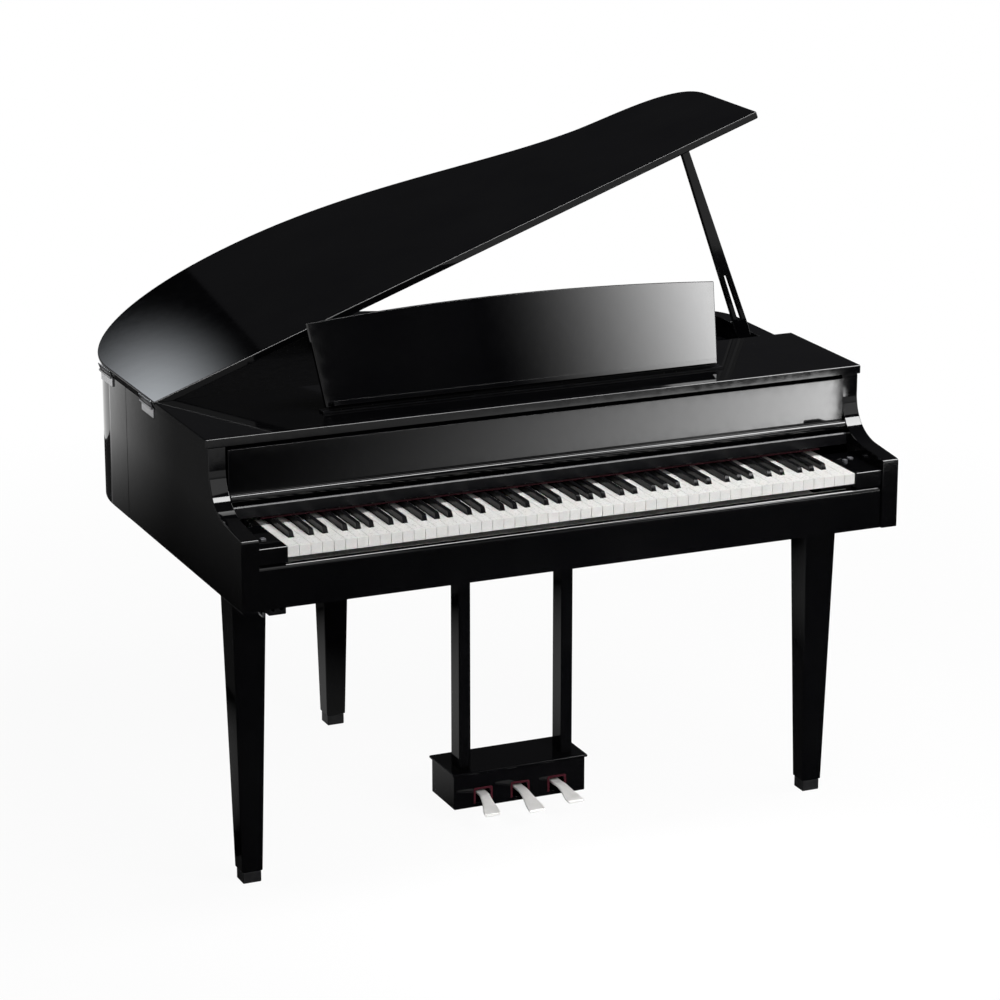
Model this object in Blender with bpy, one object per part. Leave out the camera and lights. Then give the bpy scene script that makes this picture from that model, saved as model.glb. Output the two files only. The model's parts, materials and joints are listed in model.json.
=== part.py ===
"""Digital grand piano in polished ebony: a short grand case on three legs with its lid propped open.

Metres, +Z up, +X towards the treble side, +Y towards the tail. Pieces are first placed from the
front of the arms (y = 0) and the floor (z = 0), and one parent empty then centres the whole piano.
"""

import math

import bmesh
import bpy
from mathutils import Matrix, Vector

# Overall sizes
CASE_WIDTH = 1.418
DEPTH = 1.150
CASE_BOTTOM = 0.634
CASE_HEIGHT = 0.298
GAP = 0.0003
EDGE = 0.0015
SEAT = 0.001

# Case panels
SIDE_T = 0.036
ARM_HEIGHT = 0.144
ARM_RISE = 0.008
ARM_FLAT = 0.085
ARM_NOSE = 0.006
COVE_HEIGHT = 0.090
COVE_REACH = (0.050, 0.004)
COVE_LEAN = (0.004, 0.029)
CASE_FRONT_SET = 0.002
TOP_T = 0.018
TOP_OVER = 0.0055
TOP_FRONT_Y = 0.176
TOP_DEPTH = 0.303
SLIP_FRONT = 0.006
SLIP_T = 0.018
SLIP_CLEAR = 0.002
BED_T = 0.024
BED_BACK = 0.380
BOTTOM_T = 0.016
BOARD_RECESS = 0.002
INNER_DROP = 0.042
INNER_T = 0.012
INNER_LAP = 0.060

# Curved tail, from the case's middle line and its rear end. A reach is the length of a curve's handle.
TAIL_LENGTH = 0.466
APEX_X = -0.270
APEX_REACH = (0.250, 0.310)
WAIST_X = 0.450
WAIST_DEPTH = 0.288
WAIST_REACH = (0.210, 0.080)
WAIST_LEAN = (0.058, 0.022)
BASS_STRAIGHT = 0.106
BASS_REACH = 0.210
TREBLE_STRAIGHT = 0.031
TREBLE_REACH = 0.145

# Lid, its hinges and its prop
LID_T = 0.016
LID_OVER = 0.002
LID_CLEAR = 0.0023
LID_ANGLE = math.radians(19.95)
HINGE_BACK = 0.056
HINGE_PAST = 0.010
HINGE_LENGTH = 0.074
HINGE_R = 0.003
HINGE_RISE = 0.0011
HINGE_CLEAR = 0.0008
LEAF_T = 0.002
RIM_LEAF_T = 0.0026
LEAF_DROP = 0.020
LEAF_MARGIN = 0.002
PROP_IN = 0.022
PROP_BACK = 0.081
PROP_RISE = 0.021
PROP_T = 0.012
PROP_FOOT_W = 0.030
PROP_FOOT_H = 0.045
PROP_HEEL_R = 0.012
PROP_TIP_W = 0.017
PROP_PIN_R = 0.003
PROP_SLOT = (0.062, 0.170)
PROP_SLOT_W = (0.010, 0.0072)
PROP_BASE_REACH = 0.030
PROP_BASE_D = 0.040
PROP_BASE_H = 0.032
PROP_BASE_FLOOR = 0.003
CUP_T = 0.008
CUP_SIZE = 0.044
CUP_FENCE = 0.010
RUN_CLEAR = 0.0008

# Music desk
DESK_LEAN = math.radians(19.0)
DESK_BACK = 0.1066
DESK_T = 0.012
DESK_SET = 0.0035
DESK_TOP_HALF = 0.447
DESK_FOOT_HALF = 0.430
DESK_CORNER_H = 0.172
DESK_ARCH = 0.017
DESK_FOOT_Z = 0.002
LEDGE_OUT = 0.018
LEDGE_T = 0.006
LEDGE_LIP = 0.003
BARREL_R = 0.0026
BRACE_T = 0.003
BRACE_W = 0.014
BRACE_REACH = 0.085
BRACE_X = 0.250
BRACE_FOOT_R = 0.0029
BRACE_EAR = 0.004
RAIL_END = 0.020
RAIL_OUT = 0.020

# Keyboard. As many white keys as fit stand between the key blocks, which makes 52.
WHITE_PITCH = 0.02357
BLOCK_ROOM = 0.055
KEY_GAP = 0.001
KEY_HEIGHT = 0.121
KEY_FRONT = 0.008
KEY_LENGTH = 0.232
KEY_T = 0.012
KEY_FACE = 0.0215
KEY_LIP_T = 0.003
KEY_DIP = 0.010
HEAD_LENGTH = 0.050
KEY_TAIL = 0.007
BLACK_BACK = 0.032
BLACK_W = 0.011
BLACK_TOP_W = 0.009
BLACK_RISE = 0.0115
BLACK_SLOPE = 0.009
BLACK_NOSE = 0.0054
BLACK_NOSE_DROP = 0.001
BLACK_EDGE_DROP = 0.0109
BLACK_CLEAR = 0.0012
HEEL_R = 0.002
FREE_WHITES = 7
FRAME_BASE_T = 0.008
FRAME_WALL = 0.016
FRAME_INSET = 0.001
FRAME_SET = 0.004
GUIDE_DROP = 0.008
BLACK_OFFSETS = {"C": -0.0026, "D": 0.0026, "F": -0.0036, "G": 0.0, "A": 0.0036}

# Key blocks and their controls
BLOCK_FRONT = 0.004
BLOCK_OVER_KEYS = 0.002
BLOCK_OVER_SLIP = 0.0025
BUTTON_W = 0.010
BUTTON_H = 0.0025
BUTTON_SINK = 0.004
BUTTON_TRAVEL = 0.0018
BUTTON_ROOM = 0.0004
BUTTON_EDGE = 0.0006
FUNCTION_Y = 0.062
POWER_Y = 0.105
POWER_OUT = 0.012
SLIDER_Y = 0.088
SLIDER_IN = 0.010
SLIDER_W = 0.008
SLIDER_H = 0.0045
SLIDER_TRACK = 0.034

# Fallboard and the well behind the keys
ROLL_SET = 0.0105
ROLL_RISE = 0.057
ROLL_R = 0.0095
LEAF_FRONT = 0.005
FALL_T = 0.008
FALL_CLEAR = 0.0055
FALL_SIDE_GAP = 0.0015
FALL_PIN_R = 0.003
FALL_PIN_IN = 0.004
LIP_LENGTH = 0.060
LIP_T = 0.007
WELL_FRONT_SET = 0.023
WELL_BACK_SET = 0.056
WELL_RISE = 0.0185
WELL_T = 0.006
RAIL_T = 0.014
RAIL_H = 0.0245
RAIL_CHAMFER = 0.003
BLOCK_WELL_GAP = 0.003

# Legs, lyre and pedals
LEG_IN = 0.077
LEG_Y = 0.2125
REAR_LEG_X = -0.147
REAR_LEG_IN = 0.1515
LEG_TOP = 0.072
LEG_FOOT = 0.044
LEG_EDGE = 0.0025
FOOT_W = 0.039
FOOT_H = 0.024
POST_X = 0.1155
POST_W = 0.026
POST_D = 0.045
POST_SET = 0.020
POST_EDGE = 0.002
BOX_HALF = 0.149
BOX_Y = 0.298
BOX_D = 0.120
BOX_Z = 0.040
BOX_H = 0.074
BOX_WALL = 0.008
BOX_FLOOR = 0.006
BOX_TOP_T = 0.006
BOX_TOP_OVER = 0.0045
PEDAL_SPACING = 0.084
PEDAL_BACK = 0.087
PEDAL_RISE = 0.026
PEDAL_BARREL_R = 0.005
BARREL_OVER = 0.004
PEDAL_T = 0.006
PEDAL_NECK = 0.022
PEDAL_TOE = 0.036
PEDAL_OUT = (0.076, 0.091, 0.076)
PEDAL_SPLAY = math.radians(8.0)
# Along a pedal: share of its reach, rise, share of its widening to the toe, share of its thickness
PEDAL_STATIONS = ((0.0, 0.001, 0.0, 1.0), (0.20, 0.0005, 0.0, 1.0), (0.40, -0.003, 0.13, 1.0),
                  (0.60, -0.008, 0.47, 1.0), (0.78, -0.0125, 0.90, 0.95), (0.91, -0.0155, 1.0, 0.85),
                  (1.0, -0.0175, 0.03, 0.55))
SLOT_W = 0.034
SLOT_H = 0.028
SLOT_DROP = 0.017
SADDLE_W = 0.032
SADDLE_D = 0.016

# Sound, electronics and headphones
SPEAKER_X = 0.360
SPEAKER_Y = 0.600
SPEAKER_R = 0.080
SPEAKER_HOLE_R = 0.068
SPEAKER_H = 0.070
MAGNET_R = 0.036
MAGNET_H = 0.030
BASKET_RIM = 0.006
BASKET_STEP = 0.004
BASKET_NECK = 0.010
CONE_LAP = 0.002
CONE_THROAT_R = 0.026
CONE_DEPTH = 0.022
SOUND_SLOTS = 9
SOUND_SLOT_W = 0.006
SOUND_SLOT_L = 0.140
SOUND_SLOT_PITCH = 0.016
UNIT_SIZE = (0.300, 0.180, 0.045)
UNIT_BACK = 0.016
JACK_BOX = (0.036, 0.060, 0.0235)
JACK_IN = 0.082
JACK_Y = 0.032
JACK_R = 0.0034
JACK_DEPTH = 0.025
JACK_SPACING = 0.018
HOOK_R = 0.0022
HOOK_DROP = 0.022
HOOK_REACH = 0.024
HOOK_BEND = 0.007
HOOK_TIP = 0.009
HOOK_SIDE = 0.030
HOOK_BACK = 0.020

# Values that follow from those above
height = CASE_BOTTOM + CASE_HEIGHT
rim_top = height - TOP_T - GAP
inner_top = rim_top - INNER_DROP
arm_top = CASE_BOTTOM + ARM_HEIGHT
key_top = CASE_BOTTOM + KEY_HEIGHT
key_under = key_top - KEY_T
slip_top = key_top - KEY_FACE - KEY_DIP - SLIP_CLEAR
slip_back = SLIP_FRONT + SLIP_T
bed_low = CASE_BOTTOM + BOARD_RECESS
bed_top = bed_low + BED_T
top_back_y = TOP_FRONT_Y + TOP_DEPTH
case_half = CASE_WIDTH / 2
inner_half = case_half - SIDE_T
free_half = inner_half - GAP
side_end_y = DEPTH - TAIL_LENGTH
bass_end_y = side_end_y + BASS_STRAIGHT
white_count = int(2 * (free_half - BLOCK_ROOM) / WHITE_PITCH)
keys_half = white_count * WHITE_PITCH / 2
first_free = 7 * round((white_count - 11) / 14) + 2
top_half = case_half + TOP_OVER
lid_half = case_half + LID_OVER
white_pivot = KEY_FRONT + KEY_LENGTH
black_pivot = white_pivot + BLACK_BACK
roll_y = TOP_FRONT_Y - ROLL_SET
roll_z = key_top + ROLL_RISE
hinge_x = -(lid_half + HINGE_R)
hinge_z = rim_top + HINGE_RISE
lid_low = LID_CLEAR - HINGE_RISE
leaf_outer = -lid_half - hinge_x - GAP - LEAF_T
leaf_top = lid_low + LID_T - LEAF_MARGIN
leaf_left = hinge_x + leaf_outer * math.cos(LID_ANGLE) - leaf_top * math.sin(LID_ANGLE)
centre_shift = -(top_half + leaf_left) / 2


def material(name, colour, roughness, metallic=0.0):
    """A Principled material."""
    mat = bpy.data.materials.new(name)
    mat.use_nodes = True
    shader = mat.node_tree.nodes["Principled BSDF"]
    shader.inputs["Base Color"].default_value = (*colour, 1.0)
    shader.inputs["Roughness"].default_value = roughness
    shader.inputs["Metallic"].default_value = metallic
    mat.diffuse_color = (*colour, 1.0)
    return mat


def pivot(name, location, parent, rotation=(0.0, 0.0, 0.0)):
    """An empty on a joint's axis, which carries the pieces that turn about it."""
    empty = bpy.data.objects.new(name, None)
    bpy.context.scene.collection.objects.link(empty)
    empty.empty_display_size = 0.05
    empty.location = location
    empty.rotation_euler = rotation
    empty.parent = parent
    return empty


def add_object(name, bm, mat, parent, location=(0.0, 0.0, 0.0)):
    """Turns a bmesh into a named object whose faces point out."""
    bmesh.ops.recalc_face_normals(bm, faces=bm.faces)
    mesh = bpy.data.meshes.new(name)
    bm.to_mesh(mesh)
    bm.free()
    if mat is not None:
        mesh.materials.append(mat)
    obj = bpy.data.objects.new(name, mesh)
    bpy.context.scene.collection.objects.link(obj)
    obj.parent = parent
    obj.location = location
    return obj


def block_into(bm, low, high):
    """Adds a box between two corners to a bmesh."""
    size = [high[i] - low[i] for i in range(3)]
    middle = [(high[i] + low[i]) / 2 for i in range(3)]
    matrix = Matrix.Translation(middle) @ Matrix.Diagonal((*size, 1.0))
    bmesh.ops.create_cube(bm, size=1.0, matrix=matrix)


def block(name, low, high, mat, parent, bevel=0.0, location=(0.0, 0.0, 0.0)):
    """A box between two corners, with its edges eased by bevel."""
    bm = bmesh.new()
    block_into(bm, low, high)
    obj = add_object(name, bm, mat, parent, location)
    if bevel > 0.0:
        ease(obj, bevel)
    return obj


def ease(obj, width, segments=1):
    """Rounds an object's sharp edges."""
    mod = obj.modifiers.new("ease", "BEVEL")
    mod.width = width
    mod.segments = segments
    mod.limit_method = "ANGLE"
    mod.angle_limit = math.radians(40.0)


def prism_into(bm, outline, axis, start, end):
    """Adds a closed outline drawn across one axis ("X", "Y" or "Z") and drawn out along it."""
    verts = []
    for a, b in outline:
        if axis == "X":
            verts.append(bm.verts.new((start, a, b)))
        elif axis == "Y":
            verts.append(bm.verts.new((a, start, b)))
        else:
            verts.append(bm.verts.new((a, b, start)))
    face = bm.faces.new(verts)
    step = {"X": (end - start, 0, 0), "Y": (0, end - start, 0), "Z": (0, 0, end - start)}[axis]
    made = bmesh.ops.extrude_face_region(bm, geom=[face])
    moved = [v for v in made["geom"] if isinstance(v, bmesh.types.BMVert)]
    bmesh.ops.translate(bm, vec=step, verts=moved)


def prism(name, outline, axis, start, end, mat, parent, location=(0.0, 0.0, 0.0)):
    """An object made by drawing an outline out along an axis."""
    bm = bmesh.new()
    prism_into(bm, outline, axis, start, end)
    return add_object(name, bm, mat, parent, location)


def cylinder_into(bm, centre, radius, length, axis, sides=16):
    """Adds a cylinder centred on a point, along "X", "Y" or "Z"."""
    turn = {"X": Matrix.Rotation(math.pi / 2, 4, "Y"),
            "Y": Matrix.Rotation(math.pi / 2, 4, "X"),
            "Z": Matrix.Identity(4)}[axis]
    bmesh.ops.create_cone(bm, cap_ends=True, segments=sides, radius1=radius, radius2=radius,
                          depth=length, matrix=Matrix.Translation(centre) @ turn)


def loft_into(bm, rings):
    """Joins rings of equally many points into one closed skin."""
    rows = [[bm.verts.new(p) for p in ring] for ring in rings]
    for low, high in zip(rows, rows[1:]):
        for i in range(len(low)):
            j = (i + 1) % len(low)
            bm.faces.new((low[i], low[j], high[j], high[i]))
    bm.faces.new(rows[0])
    bm.faces.new(rows[-1])


def combine(target, tool_bm, operation="UNION"):
    """Joins a shape to an object, or cuts it away, with an exact Boolean."""
    tool = add_object(target.name + "_" + operation.lower(), tool_bm, None, target)
    tool.hide_render = True
    tool.display_type = "WIRE"
    mod = target.modifiers.new(operation.lower(), "BOOLEAN")
    mod.operation = operation
    mod.solver = "EXACT"
    mod.object = tool


def round_off(obj, angle=35.0):
    """Shades an object smooth, with its corners kept sharp."""
    obj.data.shade_smooth()
    obj.data.set_sharp_from_angle(angle=math.radians(angle))


def bezier(p0, p1, p2, p3, count):
    """Points along a cubic curve, without its last point."""
    points = []
    for i in range(count):
        t = i / count
        s = 1.0 - t
        weights = (s ** 3, 3 * s * s * t, 3 * s * t * t, t ** 3)
        points.append(tuple(sum(w * p[k] for w, p in zip(weights, (p0, p1, p2, p3))) for k in (0, 1)))
    return points


def arc(centre, radius, start, end, count):
    """Points along an arc, both ends included, with angles in degrees."""
    points = []
    for i in range(count + 1):
        angle = math.radians(start + (end - start) * i / count)
        points.append((centre[0] + radius * math.cos(angle), centre[1] + radius * math.sin(angle)))
    return points


def inset(points, distance):
    """Moves an open line of points to its right-hand side by a distance."""
    moved = []
    for i, point in enumerate(points):
        before = Vector(points[max(i - 1, 0)])
        after = Vector(points[min(i + 1, len(points) - 1)])
        along = (after - before).normalized()
        moved.append((point[0] + along.y * distance, point[1] - along.x * distance))
    return moved


def grand_outline(distance, start_y):
    """The lid's edge seen from above, from the bass side round the tail to the treble side.

    It is moved inwards by a distance and begins and ends at start_y.
    """
    half = lid_half
    waist_y = DEPTH - WAIST_DEPTH
    apex, waist = (APEX_X, DEPTH), (WAIST_X, waist_y)
    bass, treble = (-half, bass_end_y), (half, side_end_y + TREBLE_STRAIGHT)
    points = [(-half, side_end_y)]
    points += bezier(bass, (-half, bass_end_y + BASS_REACH), (APEX_X - APEX_REACH[0], DEPTH), apex, 14)
    points += bezier(apex, (APEX_X + APEX_REACH[1], DEPTH),
                     (WAIST_X - WAIST_REACH[0], waist_y + WAIST_LEAN[0]), waist, 12)
    points += bezier(waist, (WAIST_X + WAIST_REACH[1], waist_y - WAIST_LEAN[1]),
                     (half, treble[1] + TREBLE_REACH), treble, 9)
    points += [treble, (half, side_end_y)]
    edge = inset(points, distance)
    edge[0] = (-half + distance, start_y)
    edge[-1] = (half - distance, start_y)
    return edge


def side_profile():
    """The side panel's outline: the low arm in front, its cove, and the tall case behind."""
    front = TOP_FRONT_Y + CASE_FRONT_SET
    top = arm_top + ARM_RISE
    points = [(0.0, CASE_BOTTOM), (0.0, arm_top - ARM_NOSE)]
    points += arc((ARM_NOSE, arm_top - ARM_NOSE), ARM_NOSE, 150.0, 90.0, 2)
    points += bezier((ARM_FLAT, top), (ARM_FLAT + COVE_REACH[0], top + COVE_REACH[1]),
                     (front - COVE_LEAN[0], top + COVE_LEAN[1]), (front, arm_top + COVE_HEIGHT), 9)
    points += [(front, arm_top + COVE_HEIGHT), (front, rim_top)]
    points += [(side_end_y, rim_top), (side_end_y, CASE_BOTTOM)]
    return points


def make_case(root, mats):
    """Side panels, tail, top board, inner panel, key bed, bottom board and key slip."""
    for name, side in (("left_side_panel", -1), ("right_side_panel", 1)):
        start, end = sorted((side * case_half, side * inner_half))
        panel = prism(name, side_profile(), "X", start, end, mats["ebony"], root)
        ease(panel, EDGE)
        hole = bmesh.new()
        cylinder_into(hole, (side * inner_half, roll_y, roll_z), FALL_PIN_R + 1.5 * GAP,
                      2 * (FALL_PIN_IN + GAP), "X")
        combine(panel, hole, "DIFFERENCE")
    start_y = side_end_y + GAP
    outer = grand_outline(LID_OVER, start_y)
    inner = grand_outline(LID_OVER + SIDE_T, start_y)
    rim = prism("tail_rim", outer + inner[::-1], "Z", CASE_BOTTOM, rim_top, mats["ebony"], root)
    round_off(rim, 30.0)

    board = [(-top_half, TOP_FRONT_Y), (top_half, TOP_FRONT_Y), (top_half, top_back_y),
             (-top_half, top_back_y)]
    top = prism("top_board", board, "Z", height - TOP_T, height, mats["ebony"], root)
    ease(top, EDGE, 2)

    fit = LID_OVER + SIDE_T + GAP
    panel = prism("inner_panel", grand_outline(fit, top_back_y - INNER_LAP), "Z",
                  inner_top - INNER_T, inner_top, mats["satin"], root)
    slots = bmesh.new()
    for side in (-1, 1):
        for i in range(SOUND_SLOTS):
            x = side * SPEAKER_X
            y = SPEAKER_Y + (i - (SOUND_SLOTS - 1) / 2) * SOUND_SLOT_PITCH
            block_into(slots, (x - SOUND_SLOT_L / 2, y - SOUND_SLOT_W / 2, inner_top - 2 * INNER_T),
                       (x + SOUND_SLOT_L / 2, y + SOUND_SLOT_W / 2, inner_top + INNER_T))
    combine(panel, slots, "DIFFERENCE")

    block("key_bed", (-free_half, slip_back + GAP, bed_low), (free_half, BED_BACK, bed_top),
          mats["satin"], root)
    bottom = prism("bottom_board", grand_outline(fit, BED_BACK + GAP), "Z", bed_low,
                   bed_low + BOTTOM_T, mats["satin"], root)
    holes = bmesh.new()
    for side in (-1, 1):
        cylinder_into(holes, (side * SPEAKER_X, SPEAKER_Y, bed_low), SPEAKER_HOLE_R, 4 * BOTTOM_T, "Z", 28)
    combine(bottom, holes, "DIFFERENCE")

    nose = SLIP_T / 2
    slip = [(SLIP_FRONT, CASE_BOTTOM), (SLIP_FRONT, slip_top - nose)]
    slip += arc((SLIP_FRONT + nose, slip_top - nose), nose, 150.0, 30.0, 4)
    slip += [(slip_back, slip_top - nose), (slip_back, CASE_BOTTOM)]
    prism("key_slip", slip, "X", -free_half, free_half, mats["ebony"], root)


def key_plan():
    """White keys as (left, right, tail left, tail right) and black keys as centres, in key order."""
    names = "ABCDEFG"
    blacks = {}
    for i in range(white_count - 1):
        letter = names[i % 7]
        if letter in BLACK_OFFSETS:
            blacks[i] = (i + 1) * WHITE_PITCH - keys_half + BLACK_OFFSETS[letter]
    room = BLACK_W / 2 + BLACK_CLEAR
    whites = []
    for i in range(white_count):
        left = i * WHITE_PITCH - keys_half + KEY_GAP / 2
        right = (i + 1) * WHITE_PITCH - keys_half - KEY_GAP / 2
        tail_left = max(left, blacks[i - 1] + room) if i - 1 in blacks else left
        tail_right = min(right, blacks[i] - room) if i in blacks else right
        whites.append((left, right, tail_left, tail_right))
    return whites, blacks


def cells_into(bm, xs, ys, zs, solid):
    """Adds the closed form made of those cells of a grid whose middles are solid."""
    corners, faces = {}, []

    def corner(i, j, k):
        if (i, j, k) not in corners:
            corners[i, j, k] = bm.verts.new((xs[i], ys[j], zs[k]))
        return corners[i, j, k]

    def filled(i, j, k):
        if not (0 <= i < len(xs) - 1 and 0 <= j < len(ys) - 1 and 0 <= k < len(zs) - 1):
            return False
        return solid((xs[i] + xs[i + 1]) / 2, (ys[j] + ys[j + 1]) / 2, (zs[k] + zs[k + 1]) / 2)

    cells = [(i, j, k) for i in range(len(xs) - 1) for j in range(len(ys) - 1)
             for k in range(len(zs) - 1) if filled(i, j, k)]
    for cell in cells:
        for axis in range(3):
            for side in (0, 1):
                other = list(cell)
                other[axis] += 1 if side else -1
                if filled(*other):
                    continue
                ring = []
                for u, v in ((0, 0), (1, 0), (1, 1), (0, 1)):
                    place = list(cell)
                    place[axis] += side
                    place[(axis + 1) % 3] += u
                    place[(axis + 2) % 3] += v
                    ring.append(corner(*place))
                faces.append(bm.faces.new(ring))
    edges = list({edge for face in faces for edge in face.edges})
    verts = list({vert for face in faces for vert in face.verts})
    bmesh.ops.dissolve_limit(bm, angle_limit=0.01, verts=verts, edges=edges)


def white_key_into(bm, plan, heel, origin=(0.0, 0.0, 0.0)):
    """A white key: wide head, front face, narrow tail, and a heel of the given depth at its pivot."""
    left, right, tail_left, tail_right = [x - origin[0] for x in plan]
    front, pivot_y = KEY_FRONT - origin[1], white_pivot - origin[1]
    top, under = key_top - origin[2], key_under - origin[2]
    lip, head = front + KEY_LIP_T, front + HEAD_LENGTH
    heel_front, heel_back = pivot_y - HEEL_R, pivot_y + HEEL_R
    xs = sorted({left, right, tail_left, tail_right})
    ys = [front, lip, head, heel_front, heel_back, pivot_y + KEY_TAIL]
    zs = [top - KEY_FACE, under - heel, under, top]

    def solid(x, y, z):
        if z < under:
            if y < lip:
                return True
            return heel_front < y < heel_back and z > under - heel and tail_left < x < tail_right
        return y < head or tail_left < x < tail_right

    cells_into(bm, xs, ys, zs, solid)


def black_key_into(bm, centre, heel, origin=(0.0, 0.0, 0.0)):
    """A black key: sloped front, tapered sides, and a wedge-shaped heel at its pivot."""
    x, under = centre - origin[0], key_under - origin[2]
    top = key_top + BLACK_RISE - origin[2]
    front = KEY_FRONT + HEAD_LENGTH + KEY_GAP - origin[1]
    pivot_y = black_pivot - origin[1]
    wedge = 2 * HEEL_R
    stations = [(front, top - BLACK_EDGE_DROP, 0.0), (front + BLACK_NOSE, top - BLACK_NOSE_DROP, 0.0),
                (front + BLACK_SLOPE, top, 0.0), (pivot_y - wedge, top, 0.0), (pivot_y, top, heel),
                (pivot_y + wedge, top, 0.0), (pivot_y + KEY_TAIL, top, 0.0)]
    rings = []
    half = BLACK_W / 2
    for y, upper, depth in stations:
        upper_half = half - (BLACK_W - BLACK_TOP_W) / 2 * (upper - under) / (top - under)
        rings.append([(x - half, y, under - depth), (x + half, y, under - depth),
                      (x + upper_half, y, upper), (x - upper_half, y, upper)])
    loft_into(bm, rings)


def make_keyboard(root, mats):
    """The key frames with the fixed keys, and one octave of keys that move one by one."""
    whites, blacks = key_plan()
    free_white = range(first_free, first_free + FREE_WHITES)
    free_black = [i for i in blacks if i in free_white and i + 1 in free_white]
    half = keys_half - FRAME_INSET
    base = bed_top + GAP
    floor = base + FRAME_BASE_T
    rest = key_under - HEEL_R - GAP
    sink = HEEL_R + GAP + SEAT
    front = slip_back + FRAME_SET
    back = white_pivot + FRAME_WALL
    guide_top = slip_top - GUIDE_DROP
    frame = [(front, base), (back, base), (back, rest), (back - 2 * FRAME_WALL, rest),
             (back - 2 * FRAME_WALL, floor), (front + FRAME_WALL, floor),
             (front + FRAME_WALL, guide_top), (front, guide_top)]
    bank = prism("white_keys", frame, "X", -half, half, mats["white_key"], root)
    keys = bmesh.new()
    for i, plan in enumerate(whites):
        if i not in free_white:
            white_key_into(keys, plan, sink)
    combine(bank, keys)

    start, end = black_pivot - FRAME_WALL / 2, black_pivot + FRAME_WALL / 2
    rail = [(start, base), (end + FRAME_WALL, base), (end + FRAME_WALL, floor), (end, floor),
            (end, rest), (start, rest)]
    bank = prism("black_keys", rail, "X", -half, half, mats["black_key"], root)
    keys = bmesh.new()
    for i, centre in blacks.items():
        if i not in free_black:
            black_key_into(keys, centre, sink)
    combine(bank, keys)

    letters = "abcdefg"
    for i in free_white:
        origin = ((whites[i][0] + whites[i][1]) / 2, white_pivot, key_under)
        bm = bmesh.new()
        white_key_into(bm, whites[i], HEEL_R, origin)
        add_object("key_" + letters[i % 7], bm, mats["white_key"], root, origin)
    for i in free_black:
        origin = (blacks[i], black_pivot, key_under)
        bm = bmesh.new()
        black_key_into(bm, blacks[i], HEEL_R, origin)
        add_object("key_" + letters[i % 7] + "_sharp", bm, mats["black_key"], root, origin)


def make_key_blocks(root, mats):
    """The blocks at both ends of the keys, with the buttons and the slider let into them."""
    near, far = keys_half + KEY_GAP, free_half
    top = key_top + BLOCK_OVER_KEYS
    step_z = slip_top + BLOCK_OVER_SLIP
    step_y = slip_back + GAP
    back = TOP_FRONT_Y - WELL_FRONT_SET - BLOCK_WELL_GAP
    base = bed_top + GAP
    profile = [(BLOCK_FRONT, step_z), (step_y, step_z), (step_y, base), (back, base), (back, top),
               (BLOCK_FRONT, top)]
    middle = (near + far) / 2
    button = (BUTTON_W / 2, BUTTON_W / 2, 0.0)
    controls = {
        "left_key_block": [("function_button", -middle, FUNCTION_Y, *button)],
        "right_key_block": [("power_button", middle + POWER_OUT, POWER_Y, *button),
                            ("volume_slider", middle - SLIDER_IN, SLIDER_Y, SLIDER_W / 2,
                             BUTTON_W / 2, SLIDER_TRACK)],
    }
    for name, side in (("left_key_block", -1), ("right_key_block", 1)):
        start, end = sorted((side * near, side * far))
        body = prism(name, profile, "X", start, end, mats["ebony"], root)
        ease(body, EDGE)
        pockets = bmesh.new()
        for control, x, y, half_x, half_y, track in controls[name]:
            room_x, room_y = half_x + BUTTON_ROOM, half_y + BUTTON_ROOM + track / 2
            block_into(pockets, (x - room_x, y - room_y, top - BUTTON_SINK),
                       (x + room_x, y + room_y, top + BUTTON_SINK))
            rise = SLIDER_H if track else BUTTON_H
            clear = GAP if track else BUTTON_TRAVEL
            block(control, (-half_x, -half_y, clear - BUTTON_SINK), (half_x, half_y, rise),
                  mats["button"], root, BUTTON_EDGE, (x, y, top))
        combine(body, pockets, "DIFFERENCE")


def make_fallboard(root, mats):
    """The well behind the keys, and the fallboard in two leaves folded up in front of it."""
    front, back = TOP_FRONT_Y - WELL_FRONT_SET, TOP_FRONT_Y + WELL_BACK_SET
    low = key_top + WELL_RISE
    rail_top = low + RAIL_H
    profile = [(front, low), (back, low), (back, rim_top), (back - WELL_T, rim_top),
               (back - WELL_T, low + WELL_T), (front + RAIL_T, low + WELL_T),
               (front + RAIL_T, rail_top), (front + RAIL_CHAMFER, rail_top),
               (front, rail_top - RAIL_CHAMFER)]
    prism("fallboard_well", profile, "X", -free_half, free_half, mats["satin"], root)

    half = inner_half - FALL_SIDE_GAP
    hinge = pivot("fallboard_axis", (0.0, roll_y, roll_z), root)
    leaf_h = rim_top - FALL_CLEAR - roll_z
    join = math.degrees(math.asin(LEAF_FRONT / ROLL_R))
    leaf_back = LEAF_FRONT + FALL_T
    outline = arc((0.0, 0.0), ROLL_R, 0.0, -(270.0 + join), 14)
    outline += [(LEAF_FRONT, leaf_h), (leaf_back, leaf_h), (leaf_back, ROLL_R)]
    board = prism("fallboard", outline, "X", -half, half, mats["ebony"], hinge)
    pins = bmesh.new()
    for side in (-1, 1):
        cylinder_into(pins, (side * half, 0.0, 0.0), FALL_PIN_R, 2 * (FALL_SIDE_GAP + FALL_PIN_IN), "X")
    combine(board, pins)

    lip_axis = pivot("fallboard_lip_axis", (0.0, leaf_back + GAP, leaf_h + GAP), hinge)
    block("fallboard_lip", (-half, GAP, -LIP_LENGTH), (half, GAP + LIP_T, -GAP), mats["ebony"],
          lip_axis, EDGE)


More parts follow.
